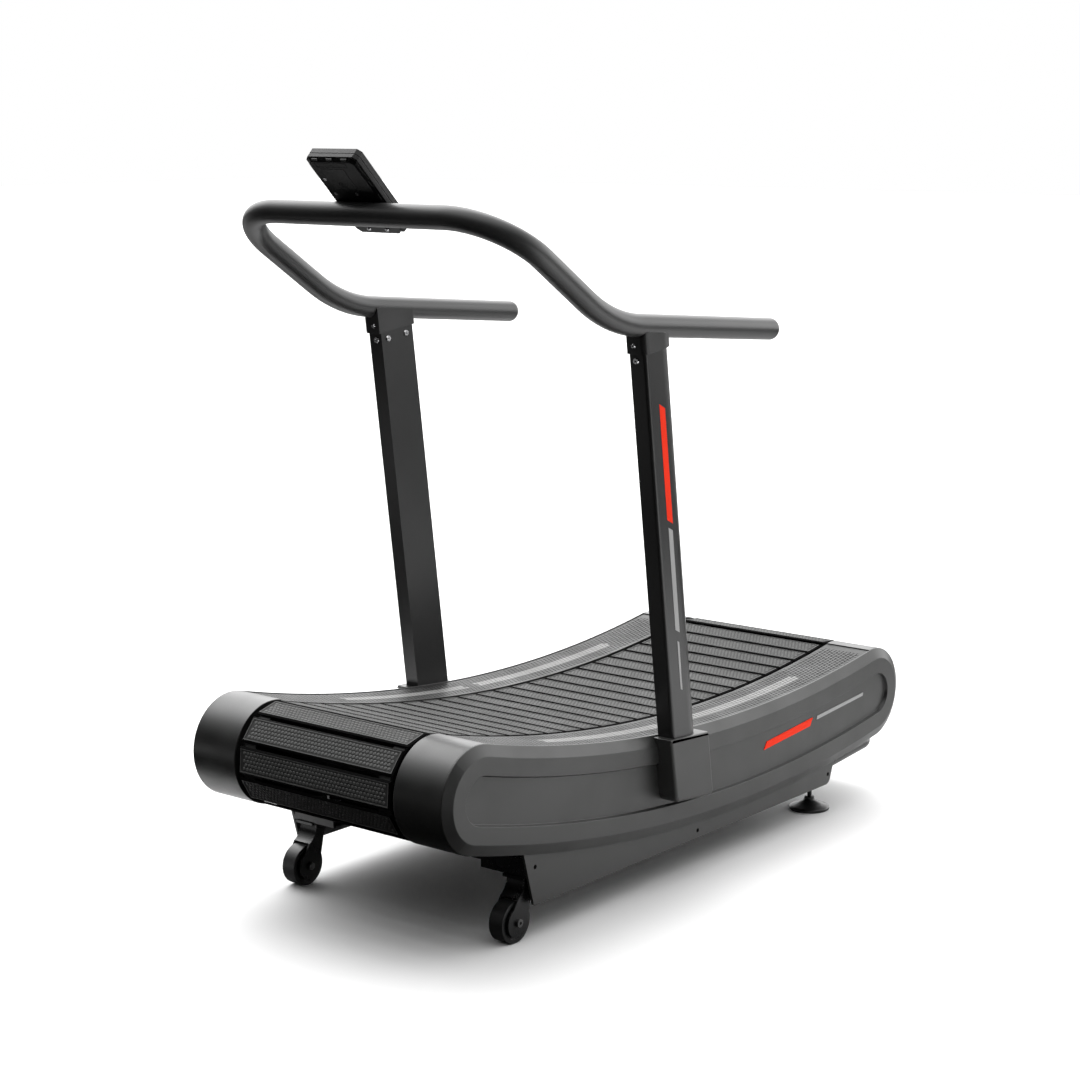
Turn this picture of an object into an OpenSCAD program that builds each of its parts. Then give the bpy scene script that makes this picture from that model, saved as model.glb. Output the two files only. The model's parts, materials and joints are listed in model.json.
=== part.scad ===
// Curved manual treadmill: an endless slat belt on a concave deck, driven only by the runner.
// X is the width (the runner's left is +X), Y the length (front at -Y), Z is up, floor at z = 0.

/* [Deck] */
// Radius of the arc that joins the two drum centres (mm)
path_radius = 3825; // [3775:5:3875]
// Height of the walking surface at its lowest point (mm)
deck_low_z = 345; // [343:1:350]
// Length position of the lowest point of the deck (mm)
deck_low_y = 195; // [185:1:205]
// Distance from the drum-centre arc to the walking surface (mm)
slat_r = 113; // [112.5:0.5:113]
// Number of slats around the whole belt
slat_count = 57; // [56:1:58]
// Width of one slat along the belt (mm)
slat_w = 60; // [57:1:61]
// Half length of one slat across the belt (mm)
slat_half = 217; // [214:1:217]

/* [Covers] */
// Radius of the rounded cover ends (mm)
cover_r = 115; // [115:0.5:117]
// Half width over the outer faces of the side covers (mm)
cover_x = 367.4; // [366:0.2:369]
// Depth of the long recess in each side cover (mm)
recess_depth = 8; // [5:0.5:9]

/* [Uprights] */
// Forward lean of the uprights (degrees)
post_lean = 7.69; // [7:0.01:8]
// Half spacing of the two handle tubes (mm)
handle_x = 382; // [380:0.5:384]
// Outer radius of the handlebar tube (mm)
bar_r = 24.9; // [24:0.1:25]

/* [Console] */
// Half width of the console (mm)
console_half = 70; // [66:1:76]
// Lean of the console from upright (degrees)
console_lean = 45.4; // [44:0.1:47]

/* [Ground parts] */
// Radius of the transport wheels (mm)
wheel_r = 46; // [42:0.5:48]
// Radius of the levelling foot pads (mm)
pad_r = 50; // [35:1:52]

/* [Hidden] */
$fn = 96;
arc_fn = 1440;
eps = 1;
gap = 0.2;
fit = 0.05;

// colours
steel_dark = [0.30, 0.30, 0.31];
cover_grey = [0.40, 0.40, 0.40];
black = [0.06, 0.06, 0.07];
slat_grey = [0.45, 0.45, 0.44];
bright = [0.75, 0.75, 0.76];
rubber = [0.10, 0.10, 0.10];

// deck path: the arc through both drum centres
front_y = -772.5;
rear_y = 774;
arc_y = deck_low_y;
arc_z = deck_low_z + path_radius - slat_r;
front_ang = asin((front_y - arc_y) / path_radius);
rear_ang = asin((rear_y - arc_y) / path_radius);
front_z = arc_z - path_radius * cos(front_ang);
rear_z = arc_z - path_radius * cos(rear_ang);
sweep_ang = rear_ang - front_ang;

// belt build-up, measured outwards from the drum centres
slat_t = 5;
slat_edge = 2;
rib_w = 14;
rib_h = 14;
rib_half = 168;
slat_in = slat_r - slat_t;
carrier_out = slat_in - 0.2;
carrier_in = carrier_out - 5.8;
pitch_r = slat_in - 1;
drum_r = carrier_in - 0.1;
carrier_x = 178;
carrier_w = 30;
joint_trim = 0.4;

// loop lengths along the pitch line
upper_len = (path_radius - pitch_r) * sweep_ang * PI / 180;
lower_len = (path_radius + pitch_r) * sweep_ang * PI / 180;
wrap_len = PI * pitch_r;
loop_len = upper_len + lower_len + 2 * wrap_len;
pitch = loop_len / slat_count;
first_slat = 12;
s_rear = upper_len;
s_lower = upper_len + wrap_len;
s_front = upper_len + wrap_len + lower_len;

// side frames
frame_in = 222;
frame_t = 6;
frame_out = frame_in + frame_t;
frame_r = 95;
axle_r = 15;
axle_half = 262;
block_half = 45;
block_t = 12;
block_boss_r = 32;
block_boss = 16;
block_stud = 34;
bearing_n = 16;
bearing_r = 14;
bearing_x = 181;
bearing_w = 24;
bearing_bolt_r = 5;
nut_r = 9;
nut_h = 6;
bearing_off = carrier_in - gap - bearing_r;
bearing_first = front_ang + 1.2;
bearing_last = rear_ang - 1.2;

// cross members: [front Y, rear Y, bottom, top]
member_front = [-600, -552, 143.2, 183];
member_tie = [-490, -442, 112.5, 156.5];
member_mid = [-10, 50, 82, 112];
member_rear = [572, 632, 84, 124];
member_half = 338.8;
stub_over = 6;
member_wall = 4;
tie_r = 20;
tie_wall = 3;
tie_angles = [-10.5, -3, 5];

// base rails
rail_in = 339;
rail_out = 345;

// covers
bevel_x = 355.8;
face_r = cover_r - 24.5;
lip_x = 352.8;
lip_r = 104;
cap_x = 227.75;
cap_wall = 3;
skin = 3;
recess_r = 52;
recess_slope = 6;

// foot rails
foot_rail_in = 227.8;
foot_rail_out = 352.4;
foot_rail_top = slat_r - 1.6;
foot_rail_t = 4;

// uprights: section 42 mm wide and 108 mm deep, flat on the inside
post_x = 356;
post_w = 42;
post_straight = 60;
post_depth = 108;
post_round = 50;
post_corner = 8;
post_wall = 3;
post_y = -154.6;
post_z = 360;
post_bottom = -122;
post_top = 874;
boot_in = 353;
boot_out = 407;
socket_bottom = 868;
socket_grow = 6;
socket_in_grow = 1.5;
spigot_bottom = 770;

// handlebar path
grip_end = [220.5, 1238.4];
grip_knee = [-374.4, 1289.9];
bar_corner = [-723.6, 1517.5];
bar_wall = 2.5;
knee_bend = 400;
corner_bend = 150;
cap_len = 14;
cap_round = 16;
grip_ang = atan2(grip_knee[1] - grip_end[1], grip_end[0] - grip_knee[0]);
arm_ang = atan2(bar_corner[1] - grip_knee[1], grip_knee[0] - bar_corner[0]);
grip_len = norm(grip_end - grip_knee);
arm_len = norm(bar_corner - grip_knee);
knee_tan = knee_bend * tan((arm_ang - grip_ang) / 2);

// console, in its own leaning frame: origin at the top of the back rim
console_len = 218;
rim_t = 24;
seam = 12;
back_bulge = 6;
bulge_inset = 8;
shell_t = 2.4;
console_corner = 8.5;
bar_lz = -139.6;
bar_ly = -bar_r - gap;
console_y = bar_corner[0] + bar_lz * sin(console_lean) - bar_ly * cos(console_lean);
console_z = bar_corner[1] - bar_lz * cos(console_lean) - bar_ly * sin(console_lean);

// ground parts
wheel_x = 303.7;
wheel_y = -611.8;
wheel_half = 17.9;
fork_half = 24.6;
fork_t = 4;
wheel_bolt_r = 5;
foot_x = 281;
foot_y = 601.6;
stem_r = 6;
stem_top = 110;

// ---------- helpers ----------
// extrude a side-view outline (Y, Z) between two X positions
module along_x(x0, x1) {
  translate([x0, 0, 0]) rotate([90, 0, 90]) linear_extrude(x1 - x0) children();
}
// a round bar along X in side view position (y, z)
module rod_x(y, z, r, x0, x1) {
  translate([x0, y, z]) rotate([0, 90, 0]) cylinder(r = r, h = x1 - x0);
}
module other_side() {
  mirror([1, 0, 0]) children();
}
// wedge between two arc angles seen from the arc centre
module wedge(a0, a1) {
  reach = 1.2 * path_radius;
  translate([arc_y, arc_z])
    polygon([[0, 0], [reach * sin(a0), -reach * cos(a0)], [reach * sin(a1), -reach * cos(a1)]]);
}
// ring segment concentric with the deck, between two radii and two angles
module arc_strip(r0, r1, a0, a1) {
  intersection() {
    difference() {
      translate([arc_y, arc_z]) circle(r = r1, $fn = arc_fn);
      translate([arc_y, arc_z]) circle(r = r0, $fn = arc_fn);
    }
    wedge(a0, a1);
  }
}
// outline of everything within r of the drum-centre arc
module band(r) {
  arc_strip(path_radius - r, path_radius + r, front_ang, rear_ang);
  translate([front_y, front_z]) circle(r = r);
  translate([rear_y, rear_z]) circle(r = r);
}
// a section of [half height, X] points carried along the deck arc and turned round both drum centres
module swept_band(section) {
  step = 0.5;
  last = len(section) - 1;
  translate([0, arc_y, arc_z]) rotate([0, 90, 0]) rotate([0, 0, front_ang])
    rotate_extrude(angle = sweep_ang, $fn = arc_fn)
      polygon(concat([for (p = section) [path_radius + p[0], p[1]]],
        [for (i = [last : -1 : 0]) [path_radius - section[i][0], section[i][1]]]));
  for (c = [[front_y, front_z], [rear_y, rear_z]])
    translate([0, c[0], c[1]]) rotate([0, 90, 0]) rotate_extrude()
      polygon(concat([[0, section[0][1]]], [for (p = section) [p[0] - step, p[1]]], [[0, section[last][1]]]));
}
// half ring around a drum centre; dir points to the side that is kept
module half_ring(y, z, r0, r1, ang, dir) {
  translate([y, z]) rotate(ang) intersection() {
    difference() {
      circle(r = r1);
      circle(r = r0);
    }
    translate([dir > 0 ? joint_trim : -2 * r1 - joint_trim, -2 * r1]) square([2 * r1, 4 * r1]);
  }
}

// ---------- slats and carrier belts ----------
module slat() {
  half = slat_w / 2;
  rotate([90, 0, 90]) translate([0, 0, -slat_half]) linear_extrude(2 * slat_half)
    polygon([[-half, -slat_t], [half, -slat_t], [half, -slat_edge], [half - slat_edge, 0],
      [slat_edge - half, 0], [-half, -slat_edge]]);
  translate([-rib_half, -rib_w / 2, -slat_t - rib_h]) cube([2 * rib_half, rib_w, rib_h + slat_edge]);
}
module slat_on_upper(s) {
  translate([0, arc_y, arc_z]) rotate([front_ang + s / (path_radius - pitch_r) * 180 / PI, 0, 0])
    translate([0, 0, slat_r - path_radius]) slat();
}
module slat_on_lower(s) {
  translate([0, arc_y, arc_z]) rotate([rear_ang - s / (path_radius + pitch_r) * 180 / PI, 0, 0])
    translate([0, 0, -slat_r - path_radius]) rotate([180, 0, 0]) slat();
}
module slat_on_drum(y, z, a0, s) {
  translate([0, y, z]) rotate([a0 - s / pitch_r * 180 / PI, 0, 0]) translate([0, 0, slat_r]) slat();
}
module upper_slats() color(slat_grey)
  for (i = [0 : slat_count - 1]) {
    s = first_slat + i * pitch;
    if (s < s_rear) slat_on_upper(s);
  }
module rear_slats() color(slat_grey)
  for (i = [0 : slat_count - 1]) {
    s = first_slat + i * pitch;
    if (s >= s_rear && s < s_lower) slat_on_drum(rear_y, rear_z, rear_ang, s - s_rear);
  }
module lower_slats() color(slat_grey)
  for (i = [0 : slat_count - 1]) {
    s = first_slat + i * pitch;
    if (s >= s_lower && s < s_front) slat_on_lower(s - s_lower);
  }
module front_slats() color(slat_grey)
  for (i = [0 : slat_count - 1]) {
    s = first_slat + i * pitch;
    if (s >= s_front) slat_on_drum(front_y, front_z, front_ang + 180, s - s_front);
  }
module both_carriers() {
  along_x(carrier_x, carrier_x + carrier_w) children();
  along_x(-carrier_x - carrier_w, -carrier_x) children();
}
trim_ang = joint_trim / path_radius * 180 / PI;
module upper_carrier_belts() color(rubber)
  both_carriers() arc_strip(path_radius - carrier_out, path_radius - carrier_in,
    front_ang + trim_ang, rear_ang - trim_ang);
module lower_carrier_belts() color(rubber)
  both_carriers() arc_strip(path_radius + carrier_in, path_radius + carrier_out,
    front_ang + trim_ang, rear_ang - trim_ang);
module front_carrier_belts() color(rubber)
  both_carriers() half_ring(front_y, front_z, carrier_in, carrier_out, front_ang, -1);
module rear_carrier_belts() color(rubber)
  both_carriers() half_ring(rear_y, rear_z, carrier_in, carrier_out, rear_ang, 1);

// ---------- drums ----------
drum_wall = 6;
hub_r = 40;
tube_r = 30;
web_t = 8;
module drum(y, z) {
  difference() {
    rod_x(y, z, axle_r, -axle_half, axle_half);
    rod_x(y, z, axle_r - 5, -axle_half + 60, axle_half - 60);
  }
  for (side = [-1, 1]) scale([side, 1, 1]) {
    difference() {
      rod_x(y, z, drum_r, carrier_x - 2, carrier_x + carrier_w);
      rod_x(y, z, drum_r - drum_wall, carrier_x - 2 - eps, carrier_x + carrier_w - web_t);
      rod_x(y, z, axle_r - eps, carrier_x, carrier_x + carrier_w + eps);
    }
    difference() {
      rod_x(y, z, hub_r, carrier_x - 8, carrier_x + carrier_w - web_t / 2);
      rod_x(y, z, axle_r - eps, carrier_x - 8 - eps, carrier_x + carrier_w);
    }
  }
  difference() {
    rod_x(y, z, tube_r, -carrier_x + 4, carrier_x - 4);
    rod_x(y, z, tube_r - 4, -carrier_x + 3, carrier_x - 3);
  }
}
module front_drum() color(bright) drum(front_y, front_z);
module rear_drum() color(bright) drum(rear_y, rear_z);
module bearing_block(y, z) {
  difference() {
    union() {
      translate([frame_out, y - block_half, z - block_half])
        cube([block_t, 2 * block_half, 2 * block_half]);
      rod_x(y, z, block_boss_r, frame_out + block_t, frame_out + block_t + block_boss);
      for (dy = [-1, 1], dz = [-1, 1])
        rod_x(y + dy * block_stud, z + dz * block_stud, 8, frame_out + block_t, frame_out + block_t + 6);
    }
    rod_x(y, z, axle_r + fit, frame_in, frame_out + 50);
  }
}
module bearing_pair(y, z) color(steel_dark) {
  bearing_block(y, z);
  other_side() bearing_block(y, z);
}
module front_bearing_blocks() bearing_pair(front_y, front_z);
module rear_bearing_blocks() bearing_pair(rear_y, rear_z);

// ---------- guide bearings ----------
module at_bearings() {
  for (i = [0 : bearing_n - 1]) {
    a = bearing_first + (bearing_last - bearing_first) * i / (bearing_n - 1);
    translate([0, arc_y + (path_radius - bearing_off) * sin(a), arc_z - (path_radius - bearing_off) * cos(a)])
      children();
  }
}
module guide_bearing_row() color(bright)
  at_bearings() {
    rod_x(0, 0, bearing_r, bearing_x, bearing_x + bearing_w);
    rod_x(0, 0, bearing_bolt_r + 3, bearing_x - 3, bearing_x);
    rod_x(0, 0, bearing_bolt_r, bearing_x + bearing_w, frame_out + 7);
    rod_x(0, 0, bearing_bolt_r + 4, bearing_x + bearing_w, frame_in - gap);
    translate([frame_out + gap, 0, 0]) rotate([0, 90, 0]) cylinder(r = nut_r, h = nut_h, $fn = 6);
  }
module guide_bearings_left() guide_bearing_row();
module guide_bearings_right() other_side() guide_bearing_row();

// ---------- side frames and cross members ----------
module frame_leg(m) {
  polygon([[m[0], m[3]], [m[1], m[3]], [m[1] + 20, m[3] + 110], [m[0] - 20, m[3] + 110]]);
}
module tie_spots() {
  for (a = tie_angles)
    translate([0, arc_y + path_radius * sin(a), arc_z - path_radius * cos(a)]) children();
}
opening_angles = [-12.5, -7, -1.5, 0.5, 2.5, 6.8];
opening_r = 42;
module side_frame() color(steel_dark)
  difference() {
    along_x(frame_in, frame_out) {
      band(frame_r);
      frame_leg(member_front);
      frame_leg(member_tie);
      frame_leg(member_mid);
      frame_leg(member_rear);
    }
    rod_x(front_y, front_z, axle_r + 2, frame_in - eps, frame_out + eps);
    rod_x(rear_y, rear_z, axle_r + 2, frame_in - eps, frame_out + eps);
    at_bearings() rod_x(0, 0, bearing_bolt_r + gap, frame_in - eps, frame_out + eps);
    for (a = opening_angles)
      translate([0, arc_y + path_radius * sin(a), arc_z - path_radius * cos(a)])
        rod_x(0, 0, opening_r, frame_in - eps, frame_out + eps);
  }
module side_frame_left() side_frame();
module side_frame_right() other_side() side_frame();
// the rear tube's ends are cut back behind the base rails
notch_x = 312;
notch_y = 594;
// rectangular tube along X between two X positions
module box_member(m, x0, x1) {
  difference() {
    translate([x0, m[0], m[2]]) cube([x1 - x0, m[1] - m[0], m[3] - m[2]]);
    translate([x0 - eps, m[0] + member_wall, m[2] + member_wall])
      cube([x1 - x0 + 2 * eps, m[1] - m[0] - 2 * member_wall, m[3] - m[2] - 2 * member_wall]);
  }
}
module cross_members() color(black) {
  // short tubes over the wheels, then the tubes that run right across
  box_member(member_front, frame_in - stub_over, member_half);
  box_member(member_front, -member_half, stub_over - frame_in);
  box_member(member_tie, -member_half, member_half);
  box_member(member_mid, -member_half, member_half);
  difference() {
    box_member(member_rear, -member_half, member_half);
    for (x = [-member_half - eps, notch_x])
      translate([x, notch_y, member_rear[2] - eps]) cube([member_half - notch_x + eps, 60, 60]);
    for (x = [-foot_x, foot_x])
      translate([x, foot_y, member_rear[2] - eps]) cylinder(r = stem_r + fit, h = 60);
  }
  tie_spots() difference() {
    rod_x(0, 0, tie_r, -frame_in, frame_in);
    rod_x(0, 0, tie_r - tie_wall, -frame_in - eps, frame_in + eps);
  }
}
bracket_angles = [-13.2, -9, 0.6, 3.8, 7.6];
bracket_t = 6;
module rail_bracket(a) {
  half = bracket_t / 2 / path_radius * 180 / PI;
  arc_strip(path_radius - foot_rail_top + foot_rail_t + gap, path_radius - 30, a - half, a + half);
}
// box under each upright: [inner radius, outer radius, front angle, rear angle]
post_box = [path_radius - foot_rail_top + foot_rail_t + gap, path_radius + 5, -5.1, -3.4];
module bracket_side() {
  wall = bracket_t / path_radius * 180 / PI;
  along_x(frame_out, foot_rail_out - 4) for (a = bracket_angles) rail_bracket(a);
  along_x(frame_out, boot_in - gap) difference() {
    arc_strip(post_box[0], post_box[1], post_box[2], post_box[3]);
    arc_strip(post_box[0] + bracket_t, post_box[1] - bracket_t, post_box[2] + wall, post_box[3] - wall);
  }
}
module clear_brackets() {
  difference() {
    bracket_side();
    at_bearings() rod_x(0, 0, nut_r + 1, frame_out - eps, frame_out + nut_h + 2);
  }
}
module rail_brackets() color(steel_dark) {
  clear_brackets();
  other_side() clear_brackets();
}

// ---------- base rails ----------
module base_rail() color(cover_grey)
  difference() {
    along_x(rail_in, rail_out) difference() {
      polygon([[-632, 262], [-581, 82], [-578, 79], [578, 79], [588, 83], [594, 92], [642, 218],
        [400, 226], [195, 216], [-90, 224], [-350, 246]]);
      for (y = [-420, -250, 250, 420]) translate([y, 190]) circle(r = 16);
    }
    for (p = [[-576, 163], [20, 97], [583, 104]])
      rod_x(p[0], p[1], 5, rail_in - eps, rail_out + eps);
  }
module base_rail_left() base_rail();
module base_rail_right() other_side() base_rail();

// ---------- lift handle ----------
lift_r = 15;
lift_bend = 45;
lift_x = 295;
lift_len = 240;
lift_rise = 4.8;
module lift_handle() color(black)
  translate([0, member_rear[1] + gap, 107]) rotate([lift_rise, 0, 0]) difference() {
    union() {
      for (side = [-1, 1]) {
        translate([side * lift_x, 0, 0]) rotate([-90, 0, 0]) cylinder(r = lift_r, h = lift_len - lift_bend);
        translate([side * (lift_x - lift_bend), lift_len - lift_bend, 0]) rotate([0, 0, side > 0 ? 0 : 90])
          rotate_extrude(angle = 90) translate([lift_bend, 0]) circle(r = lift_r);
      }
      translate([lift_bend - lift_x, lift_len, 0]) rotate([0, 90, 0])
        cylinder(r = lift_r, h = 2 * (lift_x - lift_bend));
    }
    translate([-2 * lift_x, -100, -100]) rotate([-lift_rise, 0, 0]) cube([4 * lift_x, 100, 200]);
  }

// ---------- side covers ----------
boot_pts = [[-175, 361], [-28, 351.5], [-7, 210], [-15, 201.5], [-143, 213], [-151.5, 222]];
boot_hole = [[-176, 367], [-27, 354.5], [-6, 209], [-14, 200.5], [-144, 212], [-152.5, 221]];
module cover_shell() {
  difference() {
    swept_band([[cover_r, lip_x], [cover_r, bevel_x], [face_r, cover_x]]);
    swept_band([[lip_r, lip_x - eps], [lip_r, bevel_x], [face_r - skin, cover_x - skin]]);
  }
  along_x(cap_x, lip_x) {
    half_ring(front_y, front_z, cover_r - cap_wall, cover_r, front_ang, -1);
    half_ring(rear_y, rear_z, cover_r - cap_wall, cover_r, rear_ang, 1);
  }
}
module side_cover() color(cover_grey)
  difference() {
    union() {
      cover_shell();
      swept_band([[recess_r + skin, cover_x - recess_depth - skin], [recess_r + skin, cover_x - skin / 2]]);
    }
    swept_band([[recess_r - recess_slope, cover_x - recess_depth],
      [recess_r + recess_slope / recess_depth, cover_x + eps]]);
    along_x(lip_x - 2 * eps, cover_x + eps) polygon(boot_hole);
  }
module side_cover_left() side_cover();
module side_cover_right() other_side() side_cover();

// ---------- foot rails ----------
module foot_rail() color(cover_grey)
  along_x(foot_rail_in, foot_rail_out)
    arc_strip(path_radius - foot_rail_top, path_radius - foot_rail_top + foot_rail_t,
      front_ang + 0.02, rear_ang - 0.02);
module foot_rail_left() foot_rail();
module foot_rail_right() other_side() foot_rail();

// ---------- uprights ----------
// flat-backed section; g grows the outer sides, gi the flat inner side
module post_section(g, gi) {
  rnd = post_corner + g;
  difference() {
    translate([-gi, -g]) square([post_w + g + gi, post_straight + g]);
    translate([post_w + g - rnd, rnd - g]) difference() {
      translate([0, -rnd - eps]) square([rnd + eps, rnd + eps]);
      circle(r = rnd);
    }
  }
  intersection() {
    translate([post_w - post_round, post_straight]) circle(r = post_round + g);
    translate([-gi, post_straight - 0.5]) square([post_w + g + gi, post_depth - post_straight + g + 0.5]);
  }
}
module post_frame() {
  translate([post_x, post_y, post_z]) rotate([post_lean, 0, 0]) children();
}
screw_low = 852;
screw_sides = [22, 84];
screw_front = 16;
screw_hole = 4.2;
clip_screw = 18;
module post() color(cover_grey)
  post_frame() difference() {
    translate([0, 0, post_bottom]) linear_extrude(post_top - post_bottom) post_section(0, 0);
    translate([0, 0, post_bottom - eps]) linear_extrude(post_top - post_bottom + 2 * eps)
      post_section(-post_wall, -post_wall);
    for (y = screw_sides) translate([-eps, y, screw_low]) rotate([0, 90, 0]) cylinder(r = screw_hole, h = 6);
    translate([screw_front, -eps, screw_low]) rotate([-90, 0, 0]) cylinder(r = screw_hole, h = 6);
  }
module post_left() post();
module post_right() other_side() post();
module post_boot() color(cover_grey)
  difference() {
    along_x(boot_in, boot_out) polygon(boot_pts);
    post_frame() translate([0, 0, post_bottom - gap]) linear_extrude(200) post_section(0.12, 0.12);
  }
module post_boot_left() post_boot();
module post_boot_right() other_side() post_boot();

module ring(r0, r1) {
  difference() {
    circle(r = r1);
    circle(r = r0);
  }
}
// a bend around Z of radius bend, lapping a little way into the straight tubes it joins
module tube_bend(bend, angle, r0, r1) {
  lap = 2 / bend * 180 / PI;
  step = 0.35;
  rotate([0, 0, -lap]) rotate_extrude(angle = angle + 2 * lap)
    translate([bend, 0]) ring(r0 + step, r1 - step);
}
// one side of the handlebar from the grip end to the cross bar
module bar_half(r0, r1) {
  translate([handle_x, grip_end[0], grip_end[1]]) rotate([90 - grip_ang, 0, 0])
    linear_extrude(grip_len - knee_tan) ring(r0, r1);
  translate([handle_x, grip_knee[0], grip_knee[1]]) rotate([90 - arm_ang, 0, 0])
    translate([0, 0, knee_tan]) linear_extrude(arm_len - knee_tan - corner_bend) ring(r0, r1);
  // knee: the bend centre lies above the tube
  translate([handle_x, grip_knee[0] + knee_tan * cos(grip_ang) + knee_bend * sin(grip_ang),
    grip_knee[1] - knee_tan * sin(grip_ang) + knee_bend * cos(grip_ang)])
    rotate([0, 90, 0]) rotate([0, 0, -arm_ang]) tube_bend(knee_bend, arm_ang - grip_ang, r0, r1);
  // corner into the cross bar
  translate([0, bar_corner[0], bar_corner[1]]) rotate([-arm_ang, 0, 0])
    translate([handle_x - corner_bend, corner_bend, 0]) rotate([0, 0, -90])
      tube_bend(corner_bend, 90, r0, r1);
}
module handlebar() color(steel_dark) {
  bar_half(bar_r - bar_wall, bar_r);
  other_side() bar_half(bar_r - bar_wall, bar_r);
  translate([corner_bend - handle_x, bar_corner[0], bar_corner[1]]) rotate([0, 90, 0])
    linear_extrude(2 * (handle_x - corner_bend)) ring(bar_r - bar_wall, bar_r);
}
module end_cap() {
  translate([handle_x, grip_end[0], grip_end[1]]) rotate([90 - grip_ang, 0, 0]) rotate([180, 0, 0]) {
    cylinder(r = bar_r, h = cap_len - cap_round + 6);
    rotate_extrude() {
      square([bar_r - cap_round, cap_len + 6]);
      translate([bar_r - cap_round, cap_len + 6 - cap_round]) intersection() {
        circle(r = cap_round);
        square([cap_round, cap_round]);
      }
    }
    translate([0, 0, -20]) cylinder(r = bar_r - bar_wall - gap, h = 20);
  }
}
module handlebar_end_caps() color(black) {
  end_cap();
  other_side() end_cap();
}

// the straight grip as a solid, running over at both ends
module grip_rod(r, over) {
  translate([handle_x, grip_end[0], grip_end[1]]) rotate([90 - grip_ang, 0, 0])
    translate([0, 0, -over]) cylinder(r = r, h = grip_len - knee_tan + 2 * over);
}
module socket() color(steel_dark)
  difference() {
    post_frame() difference() {
      union() {
        translate([0, 0, socket_bottom]) linear_extrude(60) post_section(socket_grow, socket_in_grow);
        translate([0, 0, spigot_bottom]) linear_extrude(post_top - spigot_bottom + 10)
          post_section(-post_wall - gap, -post_wall - gap);
      }
      difference() {
        translate([0, 0, socket_bottom - eps]) linear_extrude(post_top - socket_bottom + eps + gap)
          post_section(gap, gap);
        translate([0, 0, spigot_bottom]) linear_extrude(post_top - spigot_bottom + 10)
          post_section(-post_wall - gap, -post_wall - gap);
      }
      translate([0, 0, spigot_bottom - eps]) linear_extrude(post_top - spigot_bottom - 10)
        post_section(-2 * post_wall - 1, -2 * post_wall - 1);
      for (y = screw_sides) translate([-eps, y, screw_low]) rotate([0, 90, 0])
        cylinder(r = screw_hole, h = 16);
      translate([screw_front, -eps, screw_low]) rotate([-90, 0, 0]) cylinder(r = screw_hole, h = 16);
      translate([screw_front, -socket_grow - eps, socket_bottom + clip_screw]) rotate([-90, 0, 0])
        cylinder(r = 3.2, h = 20);
    }
    grip_rod(bar_r + 0.1, 50);
    // nothing of the socket stands above the middle of the tube
    translate([handle_x - 60, grip_end[0], grip_end[1]]) rotate([-grip_ang, 0, 0])
      translate([0, -700, 0]) cube([120, 760, 120]);
  }
module handlebar_socket_left() socket();
module handlebar_socket_right() other_side() socket();

// pan head with a short shank, head facing -Z
module screw(head_r, shank_r, shank) {
  cylinder(r = shank_r, h = shank);
  difference() {
    translate([0, 0, -3]) cylinder(r1 = head_r - 1.5, r2 = head_r, h = 3);
    translate([0, 0, -3 - eps]) cylinder(r = 2.4, h = 2.4 + eps, $fn = 6);
  }
}
module upright_screw_set() {
  post_frame() {
    for (y = screw_sides) translate([-gap, y, screw_low]) rotate([0, 90, 0]) screw(7.5, 3.8, 12);
    translate([screw_front, -gap, screw_low]) rotate([-90, 0, 0]) screw(7.5, 3.8, 12);
    translate([screw_front, -socket_grow - gap, socket_bottom + clip_screw]) rotate([-90, 0, 0])
      screw(5.5, 3, 8);
  }
}
module upright_screws() color(bright) {
  upright_screw_set();
  other_side() upright_screw_set();
}

// ---------- console ----------
module console_frame() {
  translate([0, console_y, console_z]) rotate([console_lean, 0, 0]) children();
}
// rounded-corner slab in the console frame between two depths
module console_slab(inset, y0, y1) {
  h = console_half - inset;
  c = console_corner;
  translate([0, y1, 0]) rotate([90, 0, 0]) linear_extrude(y1 - y0)
    polygon([[-h, -inset - c], [c - h, -inset], [h - c, -inset], [h, -inset - c],
      [h, inset + c - console_len], [h - c, inset - console_len],
      [c - h, inset - console_len], [-h, inset + c - console_len]]);
}
module bar_saddle(r) {
  translate([-console_half - 10, bar_ly, bar_lz]) rotate([0, 90, 0])
    cylinder(r = r, h = 2 * console_half + 20);
}
door = [-38, -86.5, 61, 58];
label = [-46, -23, 84, 12];
case_screws = [[-48.5, -59], [-47, -101], [12, -101]];
case_screw_r = 4.4;
module console_back() color(black)
  console_frame() difference() {
    union() {
      console_slab(0, 0, seam);
      console_slab(bulge_inset / 2, -back_bulge / 2, 0);
      console_slab(bulge_inset, -back_bulge, -back_bulge / 2);
    }
    console_slab(shell_t, shell_t, seam + eps);
    bar_saddle(bar_r + 0.3);
    translate([door[0] - gap, -back_bulge - eps, door[1] - gap])
      cube([door[2] + 2 * gap, 2 + eps, door[3] + 2 * gap]);
    translate([door[0] + 3, -back_bulge, door[1] + 3]) cube([door[2] - 6, 30, door[3] - 6]);
    translate([label[0], -back_bulge - eps, label[1]]) cube([label[2], 1.2 + eps, label[3]]);
    for (x = [-25, 25]) translate([x, -eps, -205]) rotate([-90, 0, 0]) cylinder(r = 2.4, h = 20);
    translate([-console_half, -back_bulge - eps, -console_len])
      cube([2 * console_half, back_bulge + eps, 62]);
    for (p = case_screws) translate([p[0], -back_bulge - eps, p[1]]) rotate([-90, 0, 0])
      cylinder(r = case_screw_r + 1, h = 3 + eps);
  }
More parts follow.
